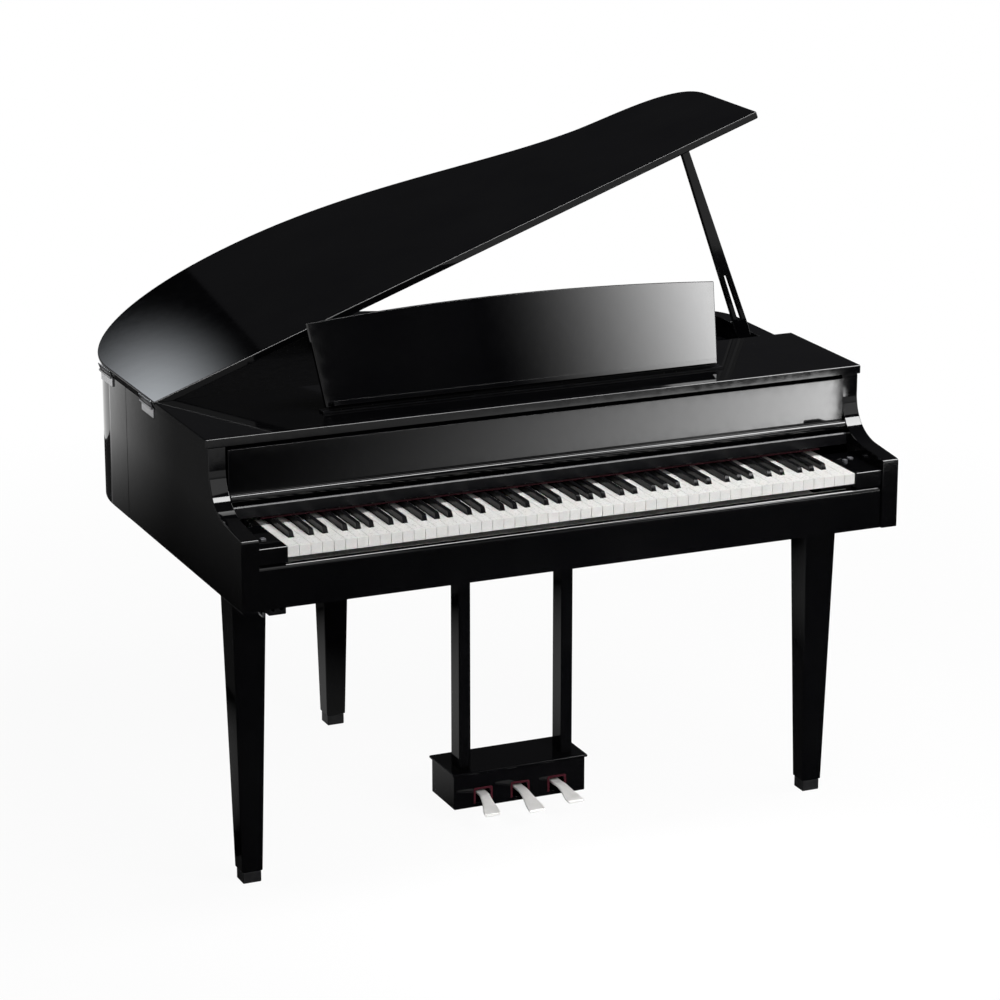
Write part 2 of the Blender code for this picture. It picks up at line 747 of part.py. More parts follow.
def make_lid(root, mats):
    """The lid at its open angle with its hinges, and the cup that the prop stands in."""
    lid_axis = pivot("lid_axis", (hinge_x, 0.0, hinge_z), root, (0.0, -LID_ANGLE, 0.0))
    outline = [(x - hinge_x, y) for x, y in grand_outline(0.0, top_back_y + GAP)]
    lid = prism("lid", outline, "Z", lid_low, lid_low + LID_T, mats["ebony"], lid_axis)
    ease(lid, EDGE)
    make_hinge("front", top_back_y + HINGE_BACK, lid_axis, root, mats)
    make_hinge("rear", bass_end_y + HINGE_PAST, lid_axis, root, mats)

    prop_x, prop_y, prop_z = prop_foot()
    reach_x, reach_z = prop_x - hinge_x, prop_z - hinge_z
    along = reach_x * math.cos(LID_ANGLE) + reach_z * math.sin(LID_ANGLE)
    cup_low = lid_low - GAP - CUP_T
    half = CUP_SIZE / 2
    cup = block("prop_cup", (along - half, prop_y - half, cup_low),
                (along + half, prop_y + half, lid_low - GAP), mats["satin"], lid_axis)
    fence = bmesh.new()
    block_into(fence, (along + PROP_TIP_W / 2 + RUN_CLEAR, prop_y - half, cup_low - CUP_FENCE),
               (along + half, prop_y + half, cup_low + CUP_T / 2))
    combine(cup, fence)


def make_hinge(name, y, lid_axis, root, mats):
    """One lid hinge: a leaf with two knuckles on the case and a leaf with one knuckle on the lid."""
    third, half = HINGE_LENGTH / 3, HINGE_LENGTH / 2
    outer = -case_half - GAP - RIM_LEAF_T
    rim_leaf = block("rim_hinge_" + name, (outer, y - half, hinge_z - LEAF_DROP),
                     (-case_half - GAP, y + half, hinge_z), mats["steel"], root)
    knuckles = bmesh.new()
    for end in (-1, 1):
        cylinder_into(knuckles, (hinge_x, y + end * third, hinge_z), HINGE_R, third - HINGE_CLEAR, "Y", 12)
    combine(rim_leaf, knuckles)
    notch = bmesh.new()
    room = HINGE_R + HINGE_CLEAR
    block_into(notch, (hinge_x - room, y - (third + HINGE_CLEAR) / 2, hinge_z - room),
               (-case_half, y + (third + HINGE_CLEAR) / 2, hinge_z + room))
    combine(rim_leaf, notch, "DIFFERENCE")

    inner = leaf_outer + LEAF_T
    lid_leaf = block("lid_hinge_" + name, (leaf_outer, y - half, room), (inner, y + half, leaf_top),
                     mats["steel"], lid_axis)
    knuckle = bmesh.new()
    block_into(knuckle, (leaf_outer, y - third / 2, 0.0), (inner, y + third / 2, leaf_top - LEAF_T))
    combine(lid_leaf, knuckle)
    knuckle = bmesh.new()
    cylinder_into(knuckle, (0.0, y, 0.0), HINGE_R, third, "Y", 12)
    combine(lid_leaf, knuckle)


def prop_foot():
    """The point that the lid prop turns about."""
    return (inner_half - PROP_IN, top_back_y + PROP_BACK, inner_top + PROP_RISE)


def make_prop(root, mats):
    """The lid prop: a tapered stick with a long slot near its foot, and the block it turns in."""
    x, y, z = prop_foot()
    reach_x, reach_z = x - hinge_x, z - hinge_z
    to_lid = reach_x * math.sin(LID_ANGLE) - reach_z * math.cos(LID_ANGLE) + lid_low
    length = to_lid - CUP_T - 2 * GAP
    axis = pivot("prop_axis", (x, y, z), root, (0.0, -LID_ANGLE, 0.0))
    foot, tip = PROP_FOOT_W / 2, PROP_TIP_W / 2
    outline = arc((0.0, 0.0), PROP_HEEL_R, 200.0, 340.0, 6)
    outline += [(foot, PROP_FOOT_H), (tip, length), (-tip, length), (-foot, PROP_FOOT_H)]
    prop = prism("prop", outline, "Y", -PROP_T / 2, PROP_T / 2, mats["ebony"], axis)
    ease(prop, EDGE / 2)
    cuts = bmesh.new()
    low, high = PROP_SLOT
    wide, narrow = PROP_SLOT_W[0] / 2, PROP_SLOT_W[1] / 2
    prism_into(cuts, [(-wide, low), (wide, low), (narrow, high), (-narrow, high)], "Y", -PROP_T, PROP_T)
    cylinder_into(cuts, (0.0, 0.0, 0.0), PROP_PIN_R + 1.5 * GAP, 2 * PROP_T, "Y")
    combine(prop, cuts, "DIFFERENCE")

    floor = inner_top + GAP
    half = PROP_BASE_D / 2
    base = block("prop_base", (x - PROP_BASE_REACH, y - half, floor),
                 (free_half, y + half, floor + PROP_BASE_H), mats["satin"], root)
    room = PROP_T / 2 + RUN_CLEAR
    notch = bmesh.new()
    block_into(notch, (x - 2 * PROP_BASE_REACH, y - room, floor + PROP_BASE_FLOOR),
               (x + PROP_HEEL_R + RUN_CLEAR, y + room, floor + 2 * PROP_BASE_H))
    combine(base, notch, "DIFFERENCE")
    pin = bmesh.new()
    cylinder_into(pin, (x, y, z), PROP_PIN_R, PROP_BASE_D - 2 * room, "Y")
    combine(base, pin)


def make_desk(root, mats):
    """The music desk leaning back on two braces, and the rail that it turns in."""
    axis_y = TOP_FRONT_Y + DESK_BACK
    axis_z = height + GAP + BRACE_FOOT_R
    axis = pivot("desk_axis", (0.0, axis_y, axis_z), root, (-DESK_LEAN, 0.0, 0.0))
    front, back = -DESK_SET - DESK_T, -DESK_SET
    radius = (DESK_TOP_HALF ** 2 + DESK_ARCH ** 2) / (2 * DESK_ARCH)
    spread = math.degrees(math.asin(DESK_TOP_HALF / radius))
    outline = [(-DESK_FOOT_HALF, DESK_FOOT_Z), (DESK_FOOT_HALF, DESK_FOOT_Z)]
    outline += arc((0.0, DESK_CORNER_H + DESK_ARCH - radius), radius, 90.0 - spread, 90.0 + spread, 16)
    desk = prism("music_desk", outline, "Y", front, back, mats["ebony"], axis)
    ease(desk, EDGE)

    half = DESK_FOOT_HALF - RAIL_END / 2
    low = DESK_FOOT_Z + EDGE
    tip = front - LEDGE_OUT
    fittings = bmesh.new()
    ledge = [(front + SEAT, low), (front + SEAT, low + LEDGE_T), (tip + LEDGE_LIP, low + LEDGE_T),
             (tip + LEDGE_LIP, low + LEDGE_T + LEDGE_LIP), (tip, low + LEDGE_T + LEDGE_LIP), (tip, low)]
    prism_into(fittings, ledge, "X", -half, half)
    web = [(back - SEAT, low), (back - SEAT, low + LEDGE_T)] + arc((0.0, 0.0), BARREL_R, 60.0, -160.0, 9)
    prism_into(fittings, web, "X", -half, half)
    for side in (-1, 1):
        for edge in (-1, 1):
            x = side * BRACE_X + edge * (BRACE_W / 2 + GAP + BRACE_EAR / 2)
            block_into(fittings, (x - BRACE_EAR / 2, back - SEAT, BRACE_REACH - BRACE_EAR),
                       (x + BRACE_EAR / 2, BARREL_R, BRACE_REACH + BRACE_EAR))
    combine(desk, fittings)

    for name, side in (("left_desk_brace", -1), ("right_desk_brace", 1)):
        hinge = pivot(name + "_axis", (side * BRACE_X, 0.0, BRACE_REACH), axis, (2 * DESK_LEAN, 0.0, 0.0))
        outline = arc((0.0, 0.0), BRACE_T / 2, 0.0, 180.0, 5)
        outline += arc((0.0, -BRACE_REACH), BRACE_FOOT_R, 150.0, 390.0, 9)
        prism(name, outline, "X", -BRACE_W / 2, BRACE_W / 2, mats["steel"], hinge)

    low, top = height + GAP, axis_z + BARREL_R / 2
    rail = block("desk_rail", (-half - RAIL_END, axis_y - RAIL_OUT, low),
                 (half + RAIL_END, axis_y - BARREL_R - GAP, top - 2 * GAP), mats["satin"], root)
    ears = bmesh.new()
    for side in (-1, 1):
        start, end = sorted((side * (half + GAP), side * (half + RAIL_END)))
        block_into(ears, (start, axis_y - RAIL_OUT - GAP, low), (end, axis_y + BARREL_R, top))
    combine(rail, ears)


def make_legs(root, mats):
    """Three square tapered legs, each on a small foot."""
    leg_x = case_half - LEG_IN
    places = (("left", -leg_x, LEG_Y), ("right", leg_x, LEG_Y),
              ("rear", REAR_LEG_X, DEPTH - REAR_LEG_IN))
    for name, x, y in places:
        rings = []
        for z, width in ((FOOT_H + GAP, LEG_FOOT), (bed_low - GAP, LEG_TOP)):
            w = width / 2
            rings.append([(x - w, y - w, z), (x + w, y - w, z), (x + w, y + w, z), (x - w, y + w, z)])
        bm = bmesh.new()
        loft_into(bm, rings)
        leg = add_object(name + "_leg", bm, mats["ebony"], root)
        ease(leg, LEG_EDGE, 2)
        w = FOOT_W / 2
        block(name + "_foot", (x - w, y - w, 0.0), (x + w, y + w, FOOT_H), mats["foot"], root, EDGE)


def make_lyre(root, mats):
    """Two posts that carry the pedal box, and its three sprung pedals."""
    box_top = BOX_Z + BOX_H
    plate_top = box_top + GAP + BOX_TOP_T
    post_y = BOX_Y + POST_SET
    for name, side in (("left_lyre_post", -1), ("right_lyre_post", 1)):
        x = side * POST_X
        block(name, (x - POST_W / 2, post_y, plate_top + GAP),
              (x + POST_W / 2, post_y + POST_D, bed_low - GAP), mats["ebony"], root, POST_EDGE)

    axis_y, axis_z = BOX_Y + PEDAL_BACK, BOX_Z + PEDAL_RISE
    slot_low = axis_z - SLOT_DROP
    seat = axis_z - PEDAL_BARREL_R - GAP
    box = block("pedal_box", (-BOX_HALF, BOX_Y, BOX_Z), (BOX_HALF, BOX_Y + BOX_D, box_top), mats["ebony"],
                root, EDGE)
    cuts, saddles = bmesh.new(), bmesh.new()
    block_into(cuts, (-BOX_HALF + BOX_WALL, BOX_Y + BOX_WALL, BOX_Z + BOX_FLOOR),
               (BOX_HALF - BOX_WALL, BOX_Y + BOX_D - BOX_WALL, box_top + BOX_WALL))
    slots = bmesh.new()
    for i in (-1, 0, 1):
        x = i * PEDAL_SPACING
        block_into(slots, (x - SLOT_W / 2, BOX_Y - BOX_WALL, slot_low),
                   (x + SLOT_W / 2, BOX_Y + 1.5 * BOX_WALL, slot_low + SLOT_H))
        block_into(saddles, (x - SADDLE_W / 2, axis_y - SADDLE_D / 2, BOX_Z + BOX_FLOOR / 2),
                   (x + SADDLE_W / 2, axis_y + SADDLE_D / 2, seat))
    combine(box, cuts, "DIFFERENCE")
    combine(box, slots, "DIFFERENCE")
    combine(box, saddles)

    over = BOX_TOP_OVER
    block("pedal_box_top", (-BOX_HALF - over, BOX_Y - over, box_top + GAP),
          (BOX_HALF + over, BOX_Y + BOX_D + over, plate_top), mats["ebony"], root, EDGE)

    for i, name in enumerate(("left_pedal", "middle_pedal", "right_pedal")):
        axis = pivot(name + "_axis", ((i - 1) * PEDAL_SPACING, axis_y, axis_z), root)
        make_pedal(name, PEDAL_OUT[i], (i - 1) * PEDAL_SPLAY, axis, mats)


def make_pedal(name, out, splay, axis, mats):
    """One pedal: a barrel, a flat lever through the slot, and a toe that widens and turns down."""
    edge = PEDAL_T / 2
    neck, toe = PEDAL_NECK / 2, PEDAL_TOE / 2
    stations = [(0.0, 0.0, 0.0, neck, edge)]
    for share, z, widening, thickness in PEDAL_STATIONS:
        half = neck + (toe - neck) * widening
        stations.append((share * out * math.sin(splay), -PEDAL_BACK - share * out, z, half, edge * thickness))
    rings = []
    for x, y, z, half, h in stations:
        rings.append([(x - half, y, z), (x - half + edge, y, z - h), (x + half - edge, y, z - h),
                      (x + half, y, z), (x + half - edge, y, z + h), (x - half + edge, y, z + h)])
    bm = bmesh.new()
    loft_into(bm, rings)
    pedal = add_object(name, bm, mats["chrome"], axis)
    round_off(pedal, 40.0)
    barrel = bmesh.new()
    cylinder_into(barrel, (0.0, 0.0, 0.0), PEDAL_BARREL_R, PEDAL_NECK + BARREL_OVER, "X", 14)
    combine(pedal, barrel)


def make_speakers(root, mats):
    """Two speakers over the holes of the bottom board, each a turned basket, cone and magnet."""
    seat = bed_low + BOTTOM_T + GAP
    cone_z = SPEAKER_H - MAGNET_H
    profile = [(0.0, SPEAKER_H), (MAGNET_R, SPEAKER_H), (MAGNET_R, cone_z),
               (MAGNET_R + BASKET_NECK, cone_z - BASKET_STEP),
               (SPEAKER_HOLE_R + BASKET_STEP, BASKET_RIM + BASKET_STEP),
               (SPEAKER_R, BASKET_RIM), (SPEAKER_R, 0.0), (SPEAKER_HOLE_R - CONE_LAP, 0.0),
               (CONE_THROAT_R, CONE_DEPTH), (0.0, CONE_DEPTH + BASKET_STEP)]
    for name, side in (("left_speaker", -1), ("right_speaker", 1)):
        bm = bmesh.new()
        verts = [bm.verts.new((r, 0.0, z)) for r, z in profile]
        edges = [bm.edges.new(pair) for pair in zip(verts, verts[1:])]
        bmesh.ops.spin(bm, geom=verts + edges, cent=(0, 0, 0), axis=(0, 0, 1), angle=2 * math.pi, steps=28)
        bmesh.ops.remove_doubles(bm, verts=bm.verts, dist=1e-6)
        speaker = add_object(name, bm, mats["speaker"], root, (side * SPEAKER_X, SPEAKER_Y, seat))
        round_off(speaker, 30.0)


def make_electronics(root, mats):
    """The electronics unit on the bottom board, and the headphone box under the bass end."""
    w, d, h = UNIT_SIZE
    floor = bed_low + BOTTOM_T + GAP
    front = side_end_y + UNIT_BACK
    block("electronics_unit", (-w / 2, front, floor), (w / 2, front + d, floor + h), mats["casing"],
          root, EDGE)

    w, d, h = JACK_BOX
    x, ceiling = -case_half + JACK_IN, bed_low - GAP
    box = block("headphone_box", (x - w / 2, JACK_Y, ceiling - h), (x + w / 2, JACK_Y + d, ceiling),
                mats["satin"], root, EDGE)
    jacks = bmesh.new()
    for side in (-1, 1):
        cylinder_into(jacks, (x + side * JACK_SPACING / 2, JACK_Y, ceiling - h / 2), JACK_R,
                      2 * JACK_DEPTH, "Y")
    combine(box, jacks, "DIFFERENCE")
    make_hook(root, mats, (x - HOOK_SIDE, JACK_Y + HOOK_BACK, ceiling))


def make_hook(root, mats, top):
    """The headphone hook: a bent wire under the key bed beside the box."""
    r, tip_r = HOOK_BEND, HOOK_BEND / 2
    points = [(0.0, 0.0), (0.0, r - HOOK_DROP)]
    points += arc((-r, r - HOOK_DROP), r, 0.0, -90.0, 4)[1:]
    points += arc((tip_r - HOOK_REACH, tip_r - HOOK_DROP), tip_r, -90.0, -180.0, 4)
    points += [(-HOOK_REACH, HOOK_TIP - HOOK_DROP)]
    curve = bpy.data.curves.new("headphone_hook", "CURVE")
    curve.dimensions = "3D"
    curve.bevel_depth = HOOK_R
    curve.bevel_resolution = 2
    curve.use_fill_caps = True
    spline = curve.splines.new("POLY")
    spline.points.add(len(points) - 1)
    for point, (y, z) in zip(spline.points, points):
        point.co = (0.0, y, z, 1.0)
    curve.materials.append(mats["steel"])
    hook = bpy.data.objects.new("headphone_hook", curve)
    bpy.context.scene.collection.objects.link(hook)
    hook.parent = root
    hook.location = top


def make_materials():
    """One Principled material for each finish."""
    return {
        "ebony": material("polished_ebony", (0.012, 0.012, 0.014), 0.06),
        "satin": material("satin_black", (0.018, 0.018, 0.019), 0.45),
        "white_key": material("ivory_white", (0.86, 0.85, 0.82), 0.28),
        "black_key": material("key_black", (0.020, 0.020, 0.021), 0.35),
        "button": material("button_grey", (0.10, 0.10, 0.11), 0.40),
        "steel": material("bright_steel", (0.62, 0.62, 0.63), 0.28, 1.0),
        "chrome": material("satin_chrome", (0.72, 0.71, 0.68), 0.22, 1.0),
        "foot": material("foot_black", (0.015, 0.015, 0.016), 0.40),
        "speaker": material("speaker_paper", (0.03, 0.03, 0.03), 0.75),
        "casing": material("unit_casing", (0.50, 0.51, 0.52), 0.35, 1.0),
    }


def main():
    for obj in list(bpy.data.objects):
        bpy.data.objects.remove(obj, do_unlink=True)
    mats = make_materials()
    root = pivot("piano_origin", (centre_shift, -DEPTH / 2, 0.0), None)
    make_case(root, mats)
    make_keyboard(root, mats)
    make_key_blocks(root, mats)
    make_fallboard(root, mats)
    make_lid(root, mats)
    make_prop(root, mats)
    make_desk(root, mats)
    make_legs(root, mats)
    make_lyre(root, mats)
    make_speakers(root, mats)
    make_electronics(root, mats)


main()
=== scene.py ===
import json
import math

import bmesh
import bpy
from mathutils import Matrix, Vector


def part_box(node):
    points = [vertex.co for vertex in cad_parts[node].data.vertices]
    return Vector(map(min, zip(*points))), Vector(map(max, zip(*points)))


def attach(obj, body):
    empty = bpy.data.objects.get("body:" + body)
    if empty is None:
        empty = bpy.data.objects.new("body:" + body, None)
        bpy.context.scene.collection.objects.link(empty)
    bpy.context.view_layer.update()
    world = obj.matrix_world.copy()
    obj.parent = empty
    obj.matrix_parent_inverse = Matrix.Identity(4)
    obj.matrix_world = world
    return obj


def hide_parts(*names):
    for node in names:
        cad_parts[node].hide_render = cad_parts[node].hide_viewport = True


# The looks of a digital grand piano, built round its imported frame
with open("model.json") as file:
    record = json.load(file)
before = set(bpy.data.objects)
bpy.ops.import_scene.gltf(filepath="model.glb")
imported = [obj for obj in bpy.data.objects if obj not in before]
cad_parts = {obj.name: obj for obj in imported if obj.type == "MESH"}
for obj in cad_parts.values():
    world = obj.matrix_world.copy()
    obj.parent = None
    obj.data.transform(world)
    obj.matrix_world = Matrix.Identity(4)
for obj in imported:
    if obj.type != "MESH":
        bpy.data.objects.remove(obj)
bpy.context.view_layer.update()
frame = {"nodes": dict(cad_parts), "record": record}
record = frame["record"]
body_of = {node: body for body, nodes in record["behaviour"]["bodies"].items() for node in nodes}
slot_of = {part["node"]: part["material_slot"] for part in record["subparts"]}
joint_at = {joint["name"]: Vector(joint["pos_m"])
            for joint in record["behaviour"]["joints"] if "pos_m" in joint}

# Camera. The lens is in pixels of the 1000-pixel image, the angles are in radians.
CAMERA_AT = (-2.87446, -6.70307, 2.79644)
CAMERA_YAW = 0.41496
CAMERA_PITCH = 0.29024
CAMERA_LENS_PX = 3609.0
CAMERA_FAR = 200.0
IMAGE_PX = 1000
SENSOR_MM = 36.0

# Sizes repeated from the construction. LID_LOW is the lid's underside above its hinges' axis.
GAP = 0.0003
SIDE_T = 0.036
LID_OVER = 0.002
LID_T = 0.016
LID_LOW = 0.0012
LID_ANGLE = math.radians(19.95)
ARM_HEIGHT = 0.144
ARM_RISE = 0.008
ARM_FLAT = 0.085
ARM_NOSE = 0.006
ARM_NOSE_FROM = 172.0
COVE_HEIGHT = 0.090
COVE_REACH = (0.050, 0.004)
COVE_LEAN = (0.004, 0.029)
CASE_FRONT = 0.178
FALL_SIDE_GAP = 0.0015
ROLL_R = 0.0095
LEAF_FRONT = 0.005
FALL_T = 0.008

# Curved tail: a reach is the length of a curve's handle
APEX_X = -0.270
APEX_REACH = (0.250, 0.310)
WAIST_X = 0.450
WAIST_DEPTH = 0.288
WAIST_REACH = (0.210, 0.080)
WAIST_LEAN = (0.058, 0.022)
BASS_STRAIGHT = 0.106
BASS_REACH = 0.210
TREBLE_STRAIGHT = 0.031
TREBLE_REACH = 0.145

# Pedals. PEDAL_BACK is from the pivot to where a pedal leaves its box, and PEDAL_OUT how far it reaches
# from there. A station has its share of that reach, rise, share of widening and share of thickness.
# The powers below 1 square the pedal's round section, across it and upwards.
PEDAL_BACK = 0.087
PEDAL_T = 0.006
PEDAL_NECK = 0.022
PEDAL_TOE = 0.036
PEDAL_OUT = (0.076, 0.091, 0.076)
PEDAL_SPLAY = math.radians(8.0)
PEDAL_BARREL_R = 0.005
PEDAL_BARREL_L = 0.026
PEDAL_POWER_ACROSS = 0.35
PEDAL_POWER_UP = 0.62
PEDAL_STATIONS = ((0.0, 0.001, 0.0, 1.0), (0.20, 0.0005, 0.0, 1.0), (0.40, -0.003, 0.13, 1.0),
                  (0.60, -0.008, 0.47, 1.0), (0.78, -0.0125, 0.90, 1.0), (0.92, -0.0155, 1.0, 0.95),
                  (0.985, -0.0170, 0.92, 0.85), (1.0, -0.0175, 0.70, 0.50))

# Steps along the curves
BASS_STEPS, TAIL_STEPS, TREBLE_STEPS = 44, 36, 28
COVE_STEPS = 36
NOSE_STEPS = 8
SLIP_STEPS = 20
ROLL_STEPS = 56
BEZEL_STEPS = 6
PEDAL_STEPS = 8
PEDAL_SIDES = 24
BARREL_SIDES = 32
FLOOR_SIDES = 96

# Finish of the edges: radii, steps, and the angles in degrees from which an edge is a corner
LACQUER_EDGE = 0.0016
LID_EDGE = 0.0028
TAIL_EDGE = 0.0010
SLIP_EDGE = 0.0008
FALL_EDGE = 0.0009
KEY_EDGE = 0.0008
SHARP_EDGE = 0.0012
BOARD_EDGE = 0.0016
BOX_TOP_EDGE = 0.0022
BEZEL_EDGE = 0.0003
FELT_EDGE = 0.0006
PLAIN_EDGE = 0.0006
EDGE_STEPS = 3
LID_EDGE_STEPS = 4
FINE_EDGE_STEPS = 2
CORNER_ANGLE = 30.0
PANEL_CORNER_ANGLE = 35.0
CURVE_CORNER_ANGLE = 40.0
CAST_CORNER_ANGLE = 50.0
FLAT_WEIGHT = 60
WELD = 1e-5
FLAT_WITHIN = math.radians(0.4)

# Trim
BEZEL_W = 0.043
BEZEL_LINE = 0.0045
BEZEL_TOP = 0.043
BEZEL_FOOT = 0.009
BEZEL_R = 0.004
BEZEL_T = 0.0012
BEZEL_SINK = 0.0002
FELT_W = 0.010
FELT_H = 0.0016
FELT_CLEAR = 0.0125
FELT_BACK = 0.003

# Most of a noise's values lie in this range
NOISE_RANGE = (0.3, 0.7)

# Studio floor and sky. The floor is white to the camera, with a little of its true light near the piano:
# near and far are a distance and the white's share there. The sky is white up to a height, then dim.
FLOOR_GREY = 0.86
FLOOR_NEAR = (1.4, 0.95)
FLOOR_FAR = (3.0, 1.0)
FLOOR_RADIUS = 45.0
FLOOR_DROP = 0.0002
WHITE_UP_TO = 0.05
DIM_FROM = 0.17
SKY_DIM = 0.032
SKY_BLUE = 1.06

# Lamps: place, aim, width and height, radiance
LAMPS = {
    "top_light": ((1.0, -0.9, 3.6), (1.0, -0.2, 0.7), (3.0, 0.9), 12.2),
    "front_light": ((0.8, -4.6, 2.7), (0.0, -0.3, 0.6), (1.8, 1.4), 8.0),
    "left_light": ((-3.6, 0.6, 2.6), (0.0, 0.0, 0.7), (1.0, 1.0), 2.5),
    "pedal_light": ((0.1, -1.0, 0.58), (0.1, -0.79, 0.0), (0.5, 0.3), 13.0),
}

# Dark flags and bright cards seen in the lacquer. A pair is a corner and a size. The board and desk cards
# get brighter to the right. A rise has its power, where it starts and ends, and its lowest share. Over
# itself a card runs from 0 to 1, so its edges are at 0.25 from its middle, squared.
CARD_MIDDLE = (0.5, 0.5, 0.0)
CARD_EDGE_SQUARED = 0.25
CARD_LIFT = 0.004
FLAG_LIFT = 0.002
FLAG_X = (-3.2, 3.6)
FLAG_Y = (-2.98, 3.0)
FLAG_GREY = 0.03
FRONT_FLAG = ((1.9, -4.4), (1.9, 1.42))
BACK_FLAG = ((-0.5, 3.7, 0.0), (4.5, 1.55))
BOARD_CARD_AT = (0.0, -2.99)
BOARD_CARD_WIDTH = 2.11
BOARD_CARD_LEAN = (0.263, -0.465)
BOARD_CARD_LIGHT = 27.0
BOARD_CARD_POWER = 3.1
DESK_CARD_X = (1.10, 1.85, 1.93)
DESK_CARD_Y = -2.9
DESK_CARD_Z = (1.85, 2.95)
DESK_CARD_LIGHT = 32.0
DESK_CARD_POWER = 2.6
COVE_CARDS = (((-1.6, -1.97, 3.55), (3.45, 0.85)), ((1.85, -2.75, 3.55), (1.5, 1.75)))
COVE_CARD_LIGHT = 34.0
GLOW_CARDS = (((-0.25, -2.9, 1.25), (0.85, 2.9)), ((2.0, -2.9, 1.2), (0.7, 1.75)))
GLOW_CARD_LIGHT = 1.9
LID_CARD = ((-0.90, 3.6, 2.14), (0.80, 0.84))
LID_CARD_LIGHT = 3.4
LID_CARD_POWER = 3.0
LID_CARD_TINT = (0.90, 0.95, 1.0)
SIDE_CARD_AT = (-1.21, 0.75)
SIDE_CARD_DEPTH = 1.6
SIDE_CARD_LEAN = (-0.76, 2.20)
SIDE_CARD_LIGHT = 2.4
SIDE_CARD_RISE = (12.0, 0.39, 0.842, 0.030)
SIDE_CARD_HEIGHT_RISE = (2.0, 0.15, 0.48, 0.14)
UNDER_CARD = ((-1.0, -0.25), (1.2, 1.4))
UNDER_CARD_LIGHT = 0.40
UNDER_CARD_POWER = 1.0

# Places read from the frame
left_panel, right_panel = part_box("left_side_panel"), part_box("right_side_panel")
front_y, side_end_y = left_panel[0].y, left_panel[1].y
middle_x = (left_panel[0].x + right_panel[1].x) / 2
case_half = (right_panel[1].x - left_panel[0].x) / 2
inner_half = case_half - SIDE_T
lid_half = case_half + LID_OVER
case_bottom, rim_top = left_panel[0].z, left_panel[1].z
arm_top = case_bottom + ARM_HEIGHT
tail_end_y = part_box("lid")[1].y
top_back_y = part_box("top_board")[1].y


# Shapes


def new_object(name, bm, mat):
    """Turns a bmesh into an object whose faces point out, without the frame's stored normals."""
    bmesh.ops.recalc_face_normals(bm, faces=bm.faces)
    mesh = bpy.data.meshes.new(name)
    bm.to_mesh(mesh)
    bm.free()
    old_normals = mesh.attributes.get("custom_normal")
    if old_normals is not None:
        mesh.attributes.remove(old_normals)
    mesh.materials.append(mat)
    obj = bpy.data.objects.new(name, mesh)
    bpy.context.scene.collection.objects.link(obj)
    return obj


def rounded(obj, width, steps=EDGE_STEPS, angle=CORNER_ANGLE):
    """Rounds an object's sharp edges and keeps its flat faces flat in the shading."""
    obj.data.shade_smooth()
    edges = obj.modifiers.new("edges", "BEVEL")
    edges.width = width
    edges.segments = steps
    edges.limit_method = "ANGLE"
    edges.angle_limit = math.radians(angle)
    obj.modifiers.new("flat_faces", "WEIGHTED_NORMAL").weight = FLAT_WEIGHT
    return obj


def smooth(obj, angle):
    """Shades an object smooth, with its corners kept sharp."""
    obj.data.shade_smooth()
    obj.data.set_sharp_from_angle(angle=math.radians(angle))
    return obj


def stand_for(obj, node):
    """The piece takes a CAD node's place and body, and the node is hidden."""
    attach(obj, body_of[node])
    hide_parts(node)


def go_with(obj, node):
    """The piece is fitted to a CAD node's piece and shares its body."""
    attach(obj, body_of[node])


def node_mesh(node):
    """A CAD node's shape with its triangles joined into flat faces."""
    bm = bmesh.new()
    bm.from_mesh(frame["nodes"][node].data)
    bmesh.ops.remove_doubles(bm, verts=bm.verts, dist=WELD)
    bmesh.ops.dissolve_limit(bm, angle_limit=FLAT_WITHIN, verts=bm.verts, edges=bm.edges)
    return bm


def make_dressed(node, width):
    """A CAD node's own shape with finely rounded edges."""
    obj = new_object(node + "_finished", node_mesh(node), looks[slot_of[node]])
    stand_for(rounded(obj, width), node)


def bezier(p0, p1, p2, p3, count):
    """Points along a cubic curve, without its last point."""
    points = []
    for i in range(count):
        t = i / count
        s = 1.0 - t
        weights = (s ** 3, 3 * s * s * t, 3 * s * t * t, t ** 3)
        points.append(tuple(sum(w * p[k] for w, p in zip(weights, (p0, p1, p2, p3))) for k in (0, 1)))
    return points


def arc(centre, radius, start, end, count):
    """Points along an arc, both ends included, with angles in degrees."""
    points = []
    for i in range(count + 1):
        angle = math.radians(start + (end - start) * i / count)
        points.append((centre[0] + radius * math.cos(angle), centre[1] + radius * math.sin(angle)))
    return points


def inset(points, distance):
    """Moves an open line of points to its right-hand side by a distance."""
    moved = []
    for i, point in enumerate(points):
        before = Vector(points[max(i - 1, 0)])
        after = Vector(points[min(i + 1, len(points) - 1)])
        along = (after - before).normalized()
        moved.append((point[0] + along.y * distance, point[1] - along.x * distance))
    return moved


def prism(name, outline, axis, start, end, mat, matrix=None):
    """An object made by drawing an outline out along an axis."""
    bm = bmesh.new()
    spots = {"X": lambda a, b: (start, a, b), "Y": lambda a, b: (a, start, b),
             "Z": lambda a, b: (a, b, start)}
    step = {"X": (end - start, 0, 0), "Y": (0, end - start, 0), "Z": (0, 0, end - start)}
    face = bm.faces.new([bm.verts.new(spots[axis](*point)) for point in outline])
    made = bmesh.ops.extrude_face_region(bm, geom=[face])
    far_end = [v for v in made["geom"] if isinstance(v, bmesh.types.BMVert)]
    bmesh.ops.translate(bm, vec=step[axis], verts=far_end)
    if matrix is not None:
        bm.transform(matrix)
    return new_object(name, bm, mat)


def loft_into(bm, rings):
    """Joins rings of equally many points into one closed skin."""
    rows = [[bm.verts.new(p) for p in ring] for ring in rings]
    for low, high in zip(rows, rows[1:]):
        for i in range(len(low)):
            j = (i + 1) % len(low)
            bm.faces.new((low[i], low[j], high[j], high[i]))
    bm.faces.new(rows[0])
    bm.faces.new(rows[-1])


